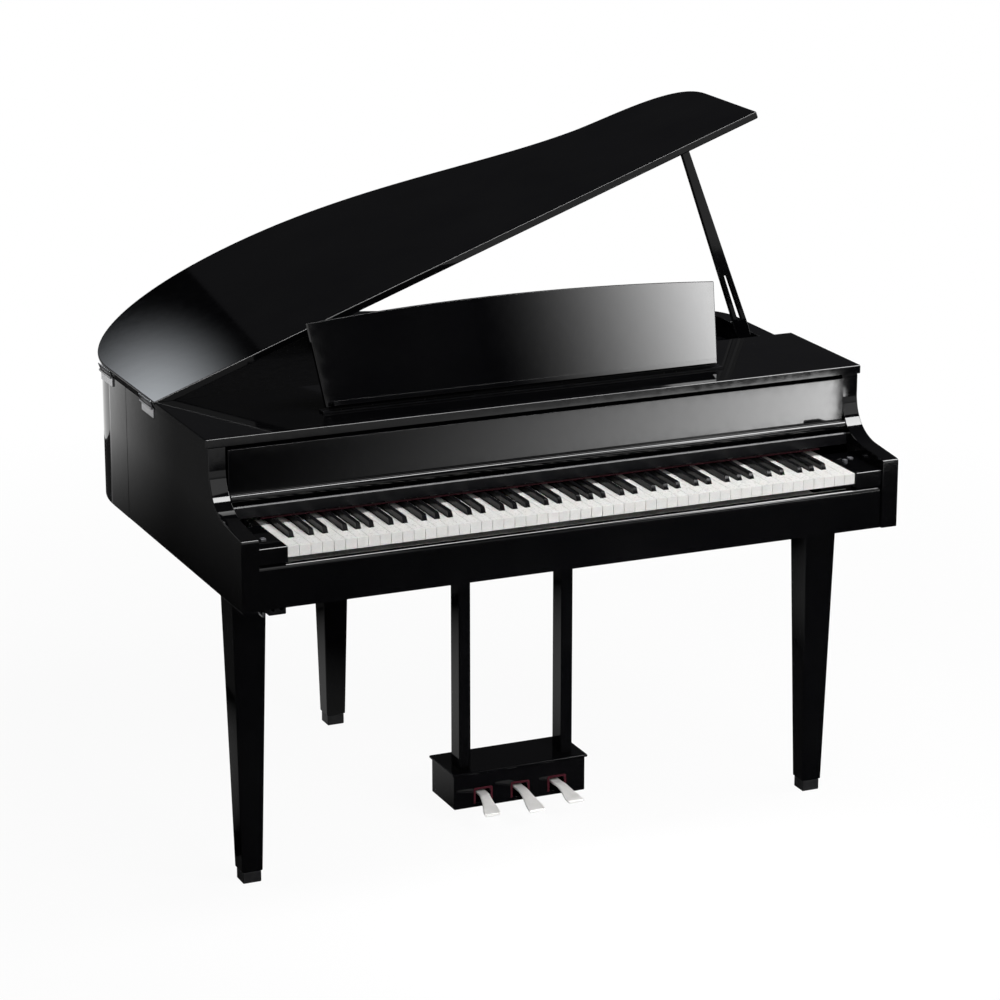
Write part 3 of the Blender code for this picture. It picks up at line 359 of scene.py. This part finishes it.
def through(stations, count):
    """Rows of values read from a smooth curve through the given rows."""
    rows = []
    for i in range(len(stations) - 1):
        before = stations[max(i - 1, 0)]
        a, b = stations[i], stations[i + 1]
        after = stations[min(i + 2, len(stations) - 1)]
        for step in range(count):
            t = step / count
            weights = (-t ** 3 + 2 * t ** 2 - t, 3 * t ** 3 - 5 * t ** 2 + 2,
                       -3 * t ** 3 + 4 * t ** 2 + t, t ** 3 - t ** 2)
            rows.append(tuple(sum(w * row[k] for w, row in zip(weights, (before, a, b, after))) / 2
                              for k in range(len(a))))
    rows.append(stations[-1])
    return rows


# Case


def grand_outline(distance, start_y):
    """The lid's edge seen from above, from the bass side round the tail to the treble side."""
    waist_y = tail_end_y - WAIST_DEPTH
    apex, waist = (middle_x + APEX_X, tail_end_y), (middle_x + WAIST_X, waist_y)
    bass = (middle_x - lid_half, side_end_y + BASS_STRAIGHT)
    treble = (middle_x + lid_half, side_end_y + TREBLE_STRAIGHT)
    points = [(bass[0], side_end_y)]
    points += bezier(bass, (bass[0], bass[1] + BASS_REACH), (apex[0] - APEX_REACH[0], tail_end_y), apex,
                     BASS_STEPS)
    points += bezier(apex, (apex[0] + APEX_REACH[1], tail_end_y),
                     (waist[0] - WAIST_REACH[0], waist_y + WAIST_LEAN[0]), waist, TAIL_STEPS)
    points += bezier(waist, (waist[0] + WAIST_REACH[1], waist_y - WAIST_LEAN[1]),
                     (treble[0], treble[1] + TREBLE_REACH), treble, TREBLE_STEPS)
    points += [treble, (treble[0], side_end_y)]
    edge = inset(points, distance)
    edge[0] = (bass[0] + distance, start_y)
    edge[-1] = (treble[0] - distance, start_y)
    return edge


def make_side_panels():
    """The side panels: low arm with a round nose, and the cove that rises to the case front."""
    face = front_y + CASE_FRONT
    top = arm_top + ARM_RISE
    flat = front_y + ARM_FLAT
    points = [(front_y, case_bottom), (front_y, arm_top - ARM_NOSE)]
    points += arc((front_y + ARM_NOSE, arm_top - ARM_NOSE), ARM_NOSE, ARM_NOSE_FROM, 90.0, NOSE_STEPS)
    points += bezier((flat, top), (flat + COVE_REACH[0], top + COVE_REACH[1]),
                     (face - COVE_LEAN[0], top + COVE_LEAN[1]), (face, arm_top + COVE_HEIGHT), COVE_STEPS)
    points += [(face, arm_top + COVE_HEIGHT), (face, rim_top), (side_end_y, rim_top),
               (side_end_y, case_bottom)]
    for node in ("left_side_panel", "right_side_panel"):
        low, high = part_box(node)
        panel = prism(node + "_lacquered", points, "X", low.x, high.x, looks["polished_ebony"])
        stand_for(rounded(panel, LACQUER_EDGE, angle=PANEL_CORNER_ANGLE), node)


def make_tail():
    """The tail's rim, which follows the lid's edge."""
    start_y = side_end_y + GAP
    outline = grand_outline(LID_OVER, start_y) + grand_outline(LID_OVER + SIDE_T, start_y)[::-1]
    rim = prism("tail_rim_lacquered", outline, "Z", case_bottom, rim_top, looks["polished_ebony"])
    stand_for(rounded(rim, TAIL_EDGE, angle=CURVE_CORNER_ANGLE), "tail_rim")


def make_lid():
    """The lid, drawn flat and turned up about its hinges."""
    hinge = joint_at["lid_hinge"]
    turned = (Matrix.Translation((hinge.x, 0.0, hinge.z)) @ Matrix.Rotation(-LID_ANGLE, 4, "Y")
              @ Matrix.Translation((-hinge.x, 0.0, 0.0)))
    lid = prism("lid_lacquered", grand_outline(0.0, top_back_y + GAP), "Z", LID_LOW, LID_LOW + LID_T,
                looks["polished_ebony"], turned)
    stand_for(rounded(lid, LID_EDGE, LID_EDGE_STEPS, CURVE_CORNER_ANGLE), "lid")


def make_slip():
    """The key slip, whose top is a full half round."""
    low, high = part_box("key_slip")
    nose = (high.y - low.y) / 2
    outline = [(low.y, low.z)]
    outline += arc((low.y + nose, high.z - nose), nose, 180.0, 0.0, SLIP_STEPS)
    outline += [(high.y, low.z)]
    slip = prism("key_slip_lacquered", outline, "X", low.x, high.x, looks["polished_ebony"])
    stand_for(rounded(slip, SLIP_EDGE, FINE_EDGE_STEPS), "key_slip")


def make_fallboard():
    """The fallboard's upright leaf on its roll."""
    axis = joint_at["fallboard_fold"]
    half = inner_half - FALL_SIDE_GAP
    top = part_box("fallboard")[1].z - axis.z
    join = math.degrees(math.asin(LEAF_FRONT / ROLL_R))
    outline = arc((0.0, 0.0), ROLL_R, 0.0, -(270.0 + join), ROLL_STEPS)
    outline += [(LEAF_FRONT, top), (LEAF_FRONT + FALL_T, top), (LEAF_FRONT + FALL_T, ROLL_R)]
    board = prism("fallboard_lacquered", [(y + axis.y, z + axis.z) for y, z in outline], "X",
                  middle_x - half, middle_x + half, looks["polished_ebony"])
    stand_for(rounded(board, FALL_EDGE, angle=CURVE_CORNER_ANGLE), "fallboard")


# Pedals


def make_pedal(node, index):
    """A cast pedal: round-edged lever that widens to a turned-down toe, and its barrel in the box."""
    axis = joint_at[node + "_press"]
    splay = (index - 1) * PEDAL_SPLAY
    out = PEDAL_OUT[index]
    neck, toe = PEDAL_NECK / 2, PEDAL_TOE / 2
    stations = [(0.0, 0.0, 0.0, neck, PEDAL_T / 2)]
    for share, rise, widening, thickness in PEDAL_STATIONS:
        stations.append((share * out * math.sin(splay), -PEDAL_BACK - share * out, rise,
                         neck + (toe - neck) * widening, PEDAL_T / 2 * thickness))
    rings = []
    for x, y, z, half, thick in through(stations, PEDAL_STEPS):
        ring = []
        for i in range(PEDAL_SIDES):
            turn = 2 * math.pi * i / PEDAL_SIDES
            across, up = math.cos(turn), math.sin(turn)
            ring.append((axis.x + x + half * math.copysign(abs(across) ** PEDAL_POWER_ACROSS, across),
                         axis.y + y, axis.z + z + thick * math.copysign(abs(up) ** PEDAL_POWER_UP, up)))
        rings.append(ring)
    bm = bmesh.new()
    loft_into(bm, rings)
    barrel = Matrix.Translation(axis) @ Matrix.Rotation(math.pi / 2, 4, "Y")
    bmesh.ops.create_cone(bm, cap_ends=True, segments=BARREL_SIDES, radius1=PEDAL_BARREL_R,
                          radius2=PEDAL_BARREL_R, depth=PEDAL_BARREL_L, matrix=barrel)
    stand_for(smooth(new_object(node + "_cast", bm, looks["satin_chrome"]), CAST_CORNER_ANGLE), node)


def make_bezels():
    """A red inverted U round each pedal slot, on the front of the pedal box."""
    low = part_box("pedal_box")[0]
    half, line, top, foot = BEZEL_W / 2, BEZEL_LINE, low.z + BEZEL_TOP, low.z + BEZEL_FOOT
    for side in ("left", "middle", "right"):
        x = joint_at[side + "_pedal_press"].x
        outline = [(x - half, foot), (x - half, top - BEZEL_R)]
        outline += arc((x - half + BEZEL_R, top - BEZEL_R), BEZEL_R, 180.0, 90.0, BEZEL_STEPS)
        outline += arc((x + half - BEZEL_R, top - BEZEL_R), BEZEL_R, 90.0, 0.0, BEZEL_STEPS)
        outline += [(x + half, foot), (x + half - line, foot), (x + half - line, top - line),
                    (x - half + line, top - line), (x - half + line, foot)]
        bezel = prism(side + "_pedal_bezel", outline, "Y", low.y - BEZEL_T, low.y + BEZEL_SINK,
                      looks["red_felt"])
        go_with(rounded(bezel, BEZEL_EDGE, FINE_EDGE_STEPS), "pedal_box")


def make_key_felt():
    """The strip of red felt just over the back of the black keys, below the front of the well."""
    well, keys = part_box("fallboard_well"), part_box("white_keys")
    bm = bmesh.new()
    size = (keys[1].x - keys[0].x, FELT_W, FELT_H)
    centre = (middle_x, well[0].y + FELT_W / 2 + FELT_BACK, keys[1].z + FELT_CLEAR + FELT_H / 2)
    bmesh.ops.create_cube(bm, size=1.0, matrix=Matrix.Translation(centre) @ Matrix.Diagonal((*size, 1.0)))
    felt = new_object("key_felt", bm, looks["red_felt"])
    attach(rounded(felt, FELT_EDGE, FINE_EDGE_STEPS), "case")


# Materials


class Nodes:
    """A short way to add nodes to a material."""

    def __init__(self, name):
        self.mat = bpy.data.materials.new(name)
        self.mat.use_nodes = True
        self.tree = self.mat.node_tree
        self.shader = self.tree.nodes["Principled BSDF"]
        coords = self.tree.nodes.new("ShaderNodeTexCoord")
        self.place = coords.outputs["Object"]

    def set(self, **values):
        """Sets the shader's own sockets, with an underscore for a space in their names."""
        for key, value in values.items():
            self.shader.inputs[key.replace("_", " ")].default_value = value

    def link(self, out, into):
        self.tree.links.new(out, into)

    def stretch(self, scale):
        """Object coordinates scaled along each axis."""
        node = self.tree.nodes.new("ShaderNodeMapping")
        node.inputs["Scale"].default_value = scale
        self.link(self.place, node.inputs["Vector"])
        return node.outputs["Vector"]

    def noise(self, scale, detail=3.0, rough=0.5, vector=None):
        node = self.tree.nodes.new("ShaderNodeTexNoise")
        node.inputs["Scale"].default_value = scale
        node.inputs["Detail"].default_value = detail
        node.inputs["Roughness"].default_value = rough
        self.link(vector or self.place, node.inputs["Vector"])
        return node.outputs["Fac"]

    def span(self, value, low, high):
        """A number between low and high that follows a noise."""
        node = self.tree.nodes.new("ShaderNodeMapRange")
        node.inputs["From Min"].default_value, node.inputs["From Max"].default_value = NOISE_RANGE
        node.inputs["To Min"].default_value = low
        node.inputs["To Max"].default_value = high
        self.link(value, node.inputs["Value"])
        return node.outputs["Result"]

    def tint(self, value, low, high):
        """A colour between low and high that follows a noise."""
        node = self.tree.nodes.new("ShaderNodeValToRGB")
        for stop, position, colour in zip(node.color_ramp.elements, NOISE_RANGE, (low, high)):
            stop.position = position
            stop.color = (*colour, 1.0)
        self.link(value, node.inputs["Fac"])
        return node.outputs["Color"]

    def bump(self, height, strength, distance):
        node = self.tree.nodes.new("ShaderNodeBump")
        node.inputs["Strength"].default_value = strength
        node.inputs["Distance"].default_value = distance
        self.link(height, node.inputs["Height"])
        return node.outputs["Normal"]

    def finish(self, colour, roughness, normal):
        """Links what varies over the surface, and gives the material."""
        self.link(colour, self.shader.inputs["Base Color"])
        self.link(roughness, self.shader.inputs["Roughness"])
        self.link(normal, self.shader.inputs["Normal"])
        return self.mat


def polished_ebony():
    """Black lacquer polished to a mirror, with faint waviness and haze."""
    n = Nodes("polished_ebony_lacquer")
    n.set(Specular_IOR_Level=0.24)
    cloud = n.noise(7.0, 4.0)
    colour = n.tint(cloud, (0.0014, 0.0014, 0.0018), (0.0025, 0.0025, 0.0028))
    haze = n.span(n.noise(55.0, 5.0, 0.6), 0.030, 0.060)
    wave = n.bump(n.noise(26.0, 2.0), 0.05, 0.0004)
    return n.finish(colour, haze, wave)


def satin_black():
    """Black paint on board, sprayed satin."""
    n = Nodes("satin_black_paint")
    n.set(Specular_IOR_Level=0.12)
    colour = n.tint(n.noise(30.0, 4.0), (0.004, 0.004, 0.005), (0.008, 0.008, 0.009))
    roughness = n.span(n.noise(90.0), 0.18, 0.28)
    return n.finish(colour, roughness, n.bump(n.noise(900.0, 2.0), 0.15, 0.0001))


def ivory_white():
    """Warm white key tops with a very fine grain."""
    n = Nodes("ivory_white_key")
    n.set(Specular_IOR_Level=0.45, Subsurface_Weight=0.04, Subsurface_Scale=0.002)
    colour = n.tint(n.noise(40.0, 4.0), (0.80, 0.79, 0.765), (0.84, 0.83, 0.81))
    roughness = n.span(n.noise(300.0), 0.24, 0.36)
    grain = n.noise(1.0, 3.0, 0.6, n.stretch((900.0, 120.0, 900.0)))
    return n.finish(colour, roughness, n.bump(grain, 0.02, 0.00004))


def key_black():
    """Black key tops with a fine grain along the key."""
    n = Nodes("black_key_grain")
    n.set(Specular_IOR_Level=0.10)
    grain = n.noise(1.0, 4.0, 0.6, n.stretch((1600.0, 90.0, 1600.0)))
    colour = n.tint(grain, (0.003, 0.003, 0.0035), (0.007, 0.007, 0.0075))
    return n.finish(colour, n.span(grain, 0.09, 0.16), n.bump(grain, 0.03, 0.00004))


def button_grey():
    """Moulded dark grey plastic."""
    n = Nodes("button_grey_plastic")
    colour = n.tint(n.noise(200.0), (0.085, 0.085, 0.095), (0.11, 0.11, 0.12))
    return n.finish(colour, n.span(n.noise(700.0), 0.34, 0.48), n.bump(n.noise(2500.0, 2.0), 0.3, 0.0001))


def bright_steel():
    """Nickel-plated steel, brushed along its length."""
    n = Nodes("bright_nickel")
    n.set(Metallic=1.0)
    brush = n.noise(1.0, 3.0, 0.6, n.stretch((3000.0, 140.0, 3000.0)))
    colour = n.tint(brush, (0.34, 0.34, 0.35), (0.46, 0.46, 0.47))
    return n.finish(colour, n.span(brush, 0.20, 0.34), n.bump(brush, 0.12, 0.0001))


def satin_chrome():
    """Pale satin plating on the pedals, with faint scuffs."""
    n = Nodes("satin_chrome_plate")
    n.set(Metallic=0.25)
    scuff = n.noise(1.0, 5.0, 0.65, n.stretch((1500.0, 160.0, 1500.0)))
    colour = n.tint(n.noise(60.0), (0.84, 0.83, 0.81), (0.91, 0.90, 0.88))
    return n.finish(colour, n.span(scuff, 0.34, 0.48), n.bump(scuff, 0.10, 0.0001))


def foot_black():
    """Matt black moulded feet."""
    n = Nodes("foot_black_plastic")
    n.set(Specular_IOR_Level=0.35)
    colour = n.tint(n.noise(80.0), (0.008, 0.008, 0.009), (0.014, 0.014, 0.015))
    return n.finish(colour, n.span(n.noise(300.0), 0.34, 0.48), n.bump(n.noise(1400.0, 2.0), 0.3, 0.0001))


def speaker_paper():
    """Black paper cone and painted basket."""
    n = Nodes("speaker_paper_black")
    fibre = n.noise(1.0, 5.0, 0.7, n.stretch((700.0, 500.0, 700.0)))
    colour = n.tint(fibre, (0.018, 0.018, 0.018), (0.045, 0.045, 0.045))
    return n.finish(colour, n.span(fibre, 0.65, 0.85), n.bump(fibre, 0.5, 0.0003))


def unit_casing():
    """Plain folded sheet with a rolled grain."""
    n = Nodes("unit_sheet_metal")
    n.set(Metallic=1.0)
    grain = n.noise(1.0, 4.0, 0.6, n.stretch((60.0, 1800.0, 1800.0)))
    colour = n.tint(grain, (0.44, 0.45, 0.46), (0.56, 0.57, 0.58))
    return n.finish(colour, n.span(grain, 0.28, 0.42), n.bump(grain, 0.15, 0.0001))


def red_felt():
    """Dark red wool felt, made darker still as painted shade for where it lies, round the pedal slots and
    behind the keys.
    """
    n = Nodes("red_felt")
    n.set(Sheen_Weight=0.05, Sheen_Roughness=0.5, Specular_IOR_Level=0.1)
    fuzz = n.noise(1800.0, 4.0, 0.7)
    # Painted shade: the felt's red is darker than the felt itself, standing for the shade round the pedal
    # slots and behind the keys.
    colour = n.tint(fuzz, (0.026, 0.003, 0.006), (0.055, 0.006, 0.012))
    return n.finish(colour, n.span(fuzz, 0.85, 0.98), n.bump(fuzz, 0.8, 0.0006))


# Studio


def pale_floor():
    """White to the camera and in reflections, with part of its true light near the piano for the shadow."""
    mat = bpy.data.materials.new("pale_floor")
    mat.use_nodes = True
    tree = mat.node_tree
    tree.nodes.clear()
    out = tree.nodes.new("ShaderNodeOutputMaterial")
    diffuse = tree.nodes.new("ShaderNodeBsdfDiffuse")
    diffuse.inputs["Color"].default_value = (FLOOR_GREY, FLOOR_GREY, FLOOR_GREY, 1.0)
    glow = tree.nodes.new("ShaderNodeEmission")
    glow.inputs["Strength"].default_value = 1.0
    rays = tree.nodes.new("ShaderNodeLightPath")
    seen = rays.outputs["Is Camera Ray"]
    for name in ("Is Glossy Ray", "Is Transmission Ray"):
        either = tree.nodes.new("ShaderNodeMath")
        either.operation = "MAXIMUM"
        tree.links.new(seen, either.inputs[0])
        tree.links.new(rays.outputs[name], either.inputs[1])
        seen = either.outputs[0]
    coords = tree.nodes.new("ShaderNodeTexCoord")
    away = tree.nodes.new("ShaderNodeVectorMath")
    away.operation = "LENGTH"
    tree.links.new(coords.outputs["Object"], away.inputs[0])
    glow_share = tree.nodes.new("ShaderNodeMapRange")
    glow_share.inputs["From Min"].default_value, glow_share.inputs["To Min"].default_value = FLOOR_NEAR
    glow_share.inputs["From Max"].default_value, glow_share.inputs["To Max"].default_value = FLOOR_FAR
    tree.links.new(away.outputs["Value"], glow_share.inputs["Value"])
    share = tree.nodes.new("ShaderNodeMath")
    share.operation = "MULTIPLY"
    tree.links.new(seen, share.inputs[0])
    tree.links.new(glow_share.outputs["Result"], share.inputs[1])
    mix = tree.nodes.new("ShaderNodeMixShader")
    tree.links.new(share.outputs[0], mix.inputs["Fac"])
    tree.links.new(diffuse.outputs[0], mix.inputs[1])
    tree.links.new(glow.outputs[0], mix.inputs[2])
    tree.links.new(mix.outputs[0], out.inputs["Surface"])
    return mat


def make_floor():
    """A round floor that ends beyond the view, a hair below the feet."""
    bm = bmesh.new()
    bmesh.ops.create_circle(bm, cap_ends=True, segments=FLOOR_SIDES, radius=FLOOR_RADIUS)
    floor = new_object("floor", bm, pale_floor())
    floor.location.z = -FLOOR_DROP


def make_world():
    """White round the horizon and dim overhead, like a studio with a white sweep."""
    world = bpy.data.worlds.new("studio")
    bpy.context.scene.world = world
    world.use_nodes = True
    tree = world.node_tree
    back = tree.nodes["Background"]
    coords = tree.nodes.new("ShaderNodeTexCoord")
    split = tree.nodes.new("ShaderNodeSeparateXYZ")
    ramp = tree.nodes.new("ShaderNodeValToRGB")
    ramp.color_ramp.elements[0].position = WHITE_UP_TO
    ramp.color_ramp.elements[0].color = (1.0, 1.0, 1.0, 1.0)
    ramp.color_ramp.elements[1].position = DIM_FROM
    ramp.color_ramp.elements[1].color = (SKY_DIM, SKY_DIM, SKY_DIM * SKY_BLUE, 1.0)
    tree.links.new(coords.outputs["Generated"], split.inputs[0])
    tree.links.new(split.outputs["Z"], ramp.inputs["Fac"])
    tree.links.new(ramp.outputs["Color"], back.inputs["Color"])
    back.inputs["Strength"].default_value = 1.0


def area_light(name, at, aim, size, radiance):
    """A rectangular soft light of a given radiance, pointed at a place. No reflection shows it."""
    data = bpy.data.lights.new(name, "AREA")
    data.shape = "RECTANGLE"
    data.size, data.size_y = size
    data.energy = radiance * math.pi * size[0] * size[1]
    light = bpy.data.objects.new(name, data)
    light.location = at
    light.rotation_euler = (Vector(aim) - Vector(at)).to_track_quat("-Z", "Y").to_euler()
    light.visible_glossy = False
    bpy.context.scene.collection.objects.link(light)


def card(name, corner, across, up, strength, shade, colour=(1.0, 1.0, 1.0)):
    """A card that shows only in reflections. shade(tree, place) gives its brightness over itself."""
    mat = bpy.data.materials.new(name)
    mat.use_nodes = True
    tree = mat.node_tree
    tree.nodes.clear()
    out = tree.nodes.new("ShaderNodeOutputMaterial")
    glow = tree.nodes.new("ShaderNodeEmission")
    glow.inputs["Color"].default_value = (*colour, 1.0)
    coords = tree.nodes.new("ShaderNodeTexCoord")
    scale = tree.nodes.new("ShaderNodeMath")
    scale.operation = "MULTIPLY"
    scale.inputs[1].default_value = strength
    tree.links.new(shade(tree, coords.outputs["UV"]), scale.inputs[0])
    tree.links.new(scale.outputs[0], glow.inputs["Strength"])
    tree.links.new(glow.outputs[0], out.inputs["Surface"])
    corner, across, up = Vector(corner), Vector(across), Vector(up)
    mesh = bpy.data.meshes.new(name)
    mesh.from_pydata([corner, corner + across, corner + across + up, corner + up], [], [(0, 1, 2, 3)])
    layer = mesh.uv_layers.new(name="card")
    for loop, uv in zip(layer.data, ((0, 0), (1, 0), (1, 1), (0, 1))):
        loop.uv = uv
    mesh.materials.append(mat)
    obj = bpy.data.objects.new(name, mesh)
    bpy.context.scene.collection.objects.link(obj)
    obj.visible_camera = False
    obj.visible_diffuse = False
    obj.visible_shadow = False
    obj.visible_transmission = False


def standing_card(name, corner, size, strength, shade, colour=(1.0, 1.0, 1.0)):
    """An upright card, with its width along X and its height along Z."""
    card(name, corner, (size[0], 0.0, 0.0), (0.0, 0.0, size[1]), strength, shade, colour)


def lying_card(name, corner, size, strength, shade):
    """A level card, with its width along X and its depth along Y."""
    card(name, corner, (size[0], 0.0, 0.0), (0.0, size[1], 0.0), strength, shade)


def climb(power, start=0.0, end=1.0, low=0.0, axis="X"):
    """Brightness that rises along one axis of a card, from low at start to 1 at end."""

    def shade(tree, place):
        split = tree.nodes.new("ShaderNodeSeparateXYZ")
        tree.links.new(place, split.inputs[0])
        ramp = tree.nodes.new("ShaderNodeMapRange")
        ramp.inputs["From Min"].default_value = start
        ramp.inputs["From Max"].default_value = end
        ramp.inputs["To Min"].default_value = low ** (1.0 / power)
        tree.links.new(split.outputs[axis], ramp.inputs["Value"])
        curve = tree.nodes.new("ShaderNodeMath")
        curve.operation = "POWER"
        curve.inputs[1].default_value = power
        tree.links.new(ramp.outputs["Result"], curve.inputs[0])
        return curve.outputs[0]

    return shade


def even():
    """Full brightness all over a card, as a climb that ends where the card starts."""
    return climb(1.0, -1.0, 0.0)


def both(first, second):
    """Two shadings of a card multiplied together."""

    def shade(tree, place):
        product = tree.nodes.new("ShaderNodeMath")
        product.operation = "MULTIPLY"
        tree.links.new(first(tree, place), product.inputs[0])
        tree.links.new(second(tree, place), product.inputs[1])
        return product.outputs[0]

    return shade


def bloom(power):
    """Brightness that falls like a bell from the middle of a card to nothing at its edges."""

    def shade(tree, place):
        away = tree.nodes.new("ShaderNodeVectorMath")
        away.operation = "DISTANCE"
        away.inputs[1].default_value = CARD_MIDDLE
        tree.links.new(place, away.inputs[0])
        squared = tree.nodes.new("ShaderNodeMath")
        squared.operation = "MULTIPLY"
        tree.links.new(away.outputs["Value"], squared.inputs[0])
        tree.links.new(away.outputs["Value"], squared.inputs[1])
        ramp = tree.nodes.new("ShaderNodeMapRange")
        ramp.inputs["From Min"].default_value = CARD_EDGE_SQUARED
        ramp.inputs["From Max"].default_value = 0.0
        tree.links.new(squared.outputs[0], ramp.inputs["Value"])
        curve = tree.nodes.new("ShaderNodeMath")
        curve.operation = "POWER"
        curve.inputs[1].default_value = power
        tree.links.new(ramp.outputs["Result"], curve.inputs[0])
        return curve.outputs[0]

    return shade


def make_lights():
    """Soft lights from above and in front, and cards whose gradients show in the lacquer."""
    for name, (at, aim, size, radiance) in LAMPS.items():
        area_light(name, at, aim, size, radiance)
    lying_card("floor_flag", (FLAG_X[0], FLAG_Y[0], FLAG_LIFT),
               (FLAG_X[1] - FLAG_X[0], FLAG_Y[1] - FLAG_Y[0]), FLAG_GREY, even())
    at, size = FRONT_FLAG
    lying_card("front_flag", (*at, FLAG_LIFT), size, FLAG_GREY, even())
    standing_card("back_flag", *BACK_FLAG, FLAG_GREY, even())
    card("board_card", (*BOARD_CARD_AT, CARD_LIFT), (BOARD_CARD_WIDTH, 0.0, 0.0), (*BOARD_CARD_LEAN, 0.0),
         BOARD_CARD_LIGHT, climb(BOARD_CARD_POWER))
    start, full, end = DESK_CARD_X
    low, high = DESK_CARD_Z
    standing_card("desk_card", (start, DESK_CARD_Y, low), (end - start, high - low), DESK_CARD_LIGHT,
                  climb(DESK_CARD_POWER, 0.0, (full - start) / (end - start)))
    for side, cove, glow in zip(("left", "right"), COVE_CARDS, GLOW_CARDS):
        lying_card(side + "_cove_card", *cove, COVE_CARD_LIGHT, even())
        standing_card(side + "_glow_card", *glow, GLOW_CARD_LIGHT, even())
    standing_card("lid_card", *LID_CARD, LID_CARD_LIGHT, bloom(LID_CARD_POWER), LID_CARD_TINT)
    card("side_card", (*SIDE_CARD_AT, CARD_LIFT), (0.0, SIDE_CARD_DEPTH, 0.0), (*SIDE_CARD_LEAN, 0.0),
         SIDE_CARD_LIGHT, both(climb(*SIDE_CARD_RISE), climb(*SIDE_CARD_HEIGHT_RISE, "Y")))
    at, size = UNDER_CARD
    lying_card("under_card", (*at, CARD_LIFT), size, UNDER_CARD_LIGHT, bloom(UNDER_CARD_POWER))


def make_camera():
    """The photograph's camera, and the plain view transform."""
    data = bpy.data.cameras.new("camera")
    data.sensor_width = SENSOR_MM
    data.lens = CAMERA_LENS_PX / IMAGE_PX * SENSOR_MM
    data.clip_end = CAMERA_FAR
    camera = bpy.data.objects.new("camera", data)
    camera.location = CAMERA_AT
    camera.rotation_euler = (math.pi / 2 - CAMERA_PITCH, 0.0, -CAMERA_YAW)
    bpy.context.scene.collection.objects.link(camera)
    bpy.context.scene.camera = camera
    bpy.context.scene.view_settings.view_transform = "Standard"


looks = {
    "polished_ebony": polished_ebony(),
    "satin_black": satin_black(),
    "ivory_white": ivory_white(),
    "key_black": key_black(),
    "button_grey": button_grey(),
    "bright_steel": bright_steel(),
    "satin_chrome": satin_chrome(),
    "foot_black": foot_black(),
    "speaker_paper": speaker_paper(),
    "unit_casing": unit_casing(),
    "red_felt": red_felt(),
}
make_camera()
make_floor()
make_world()
make_lights()

make_side_panels()
make_tail()
make_lid()
make_slip()
make_fallboard()
for index, node in enumerate(("left_pedal", "middle_pedal", "right_pedal")):
    make_pedal(node, index)
make_bezels()
make_key_felt()

edge_of_slot = {"ivory_white": KEY_EDGE, "key_black": SHARP_EDGE}
edge_of_node = {"pedal_box_top": BOX_TOP_EDGE, "top_board": BOARD_EDGE, "music_desk": BOARD_EDGE}
for node, obj in frame["nodes"].items():
    if not obj.hide_render:
        make_dressed(node, edge_of_node.get(node, edge_of_slot.get(slot_of[node], PLAIN_EDGE)))
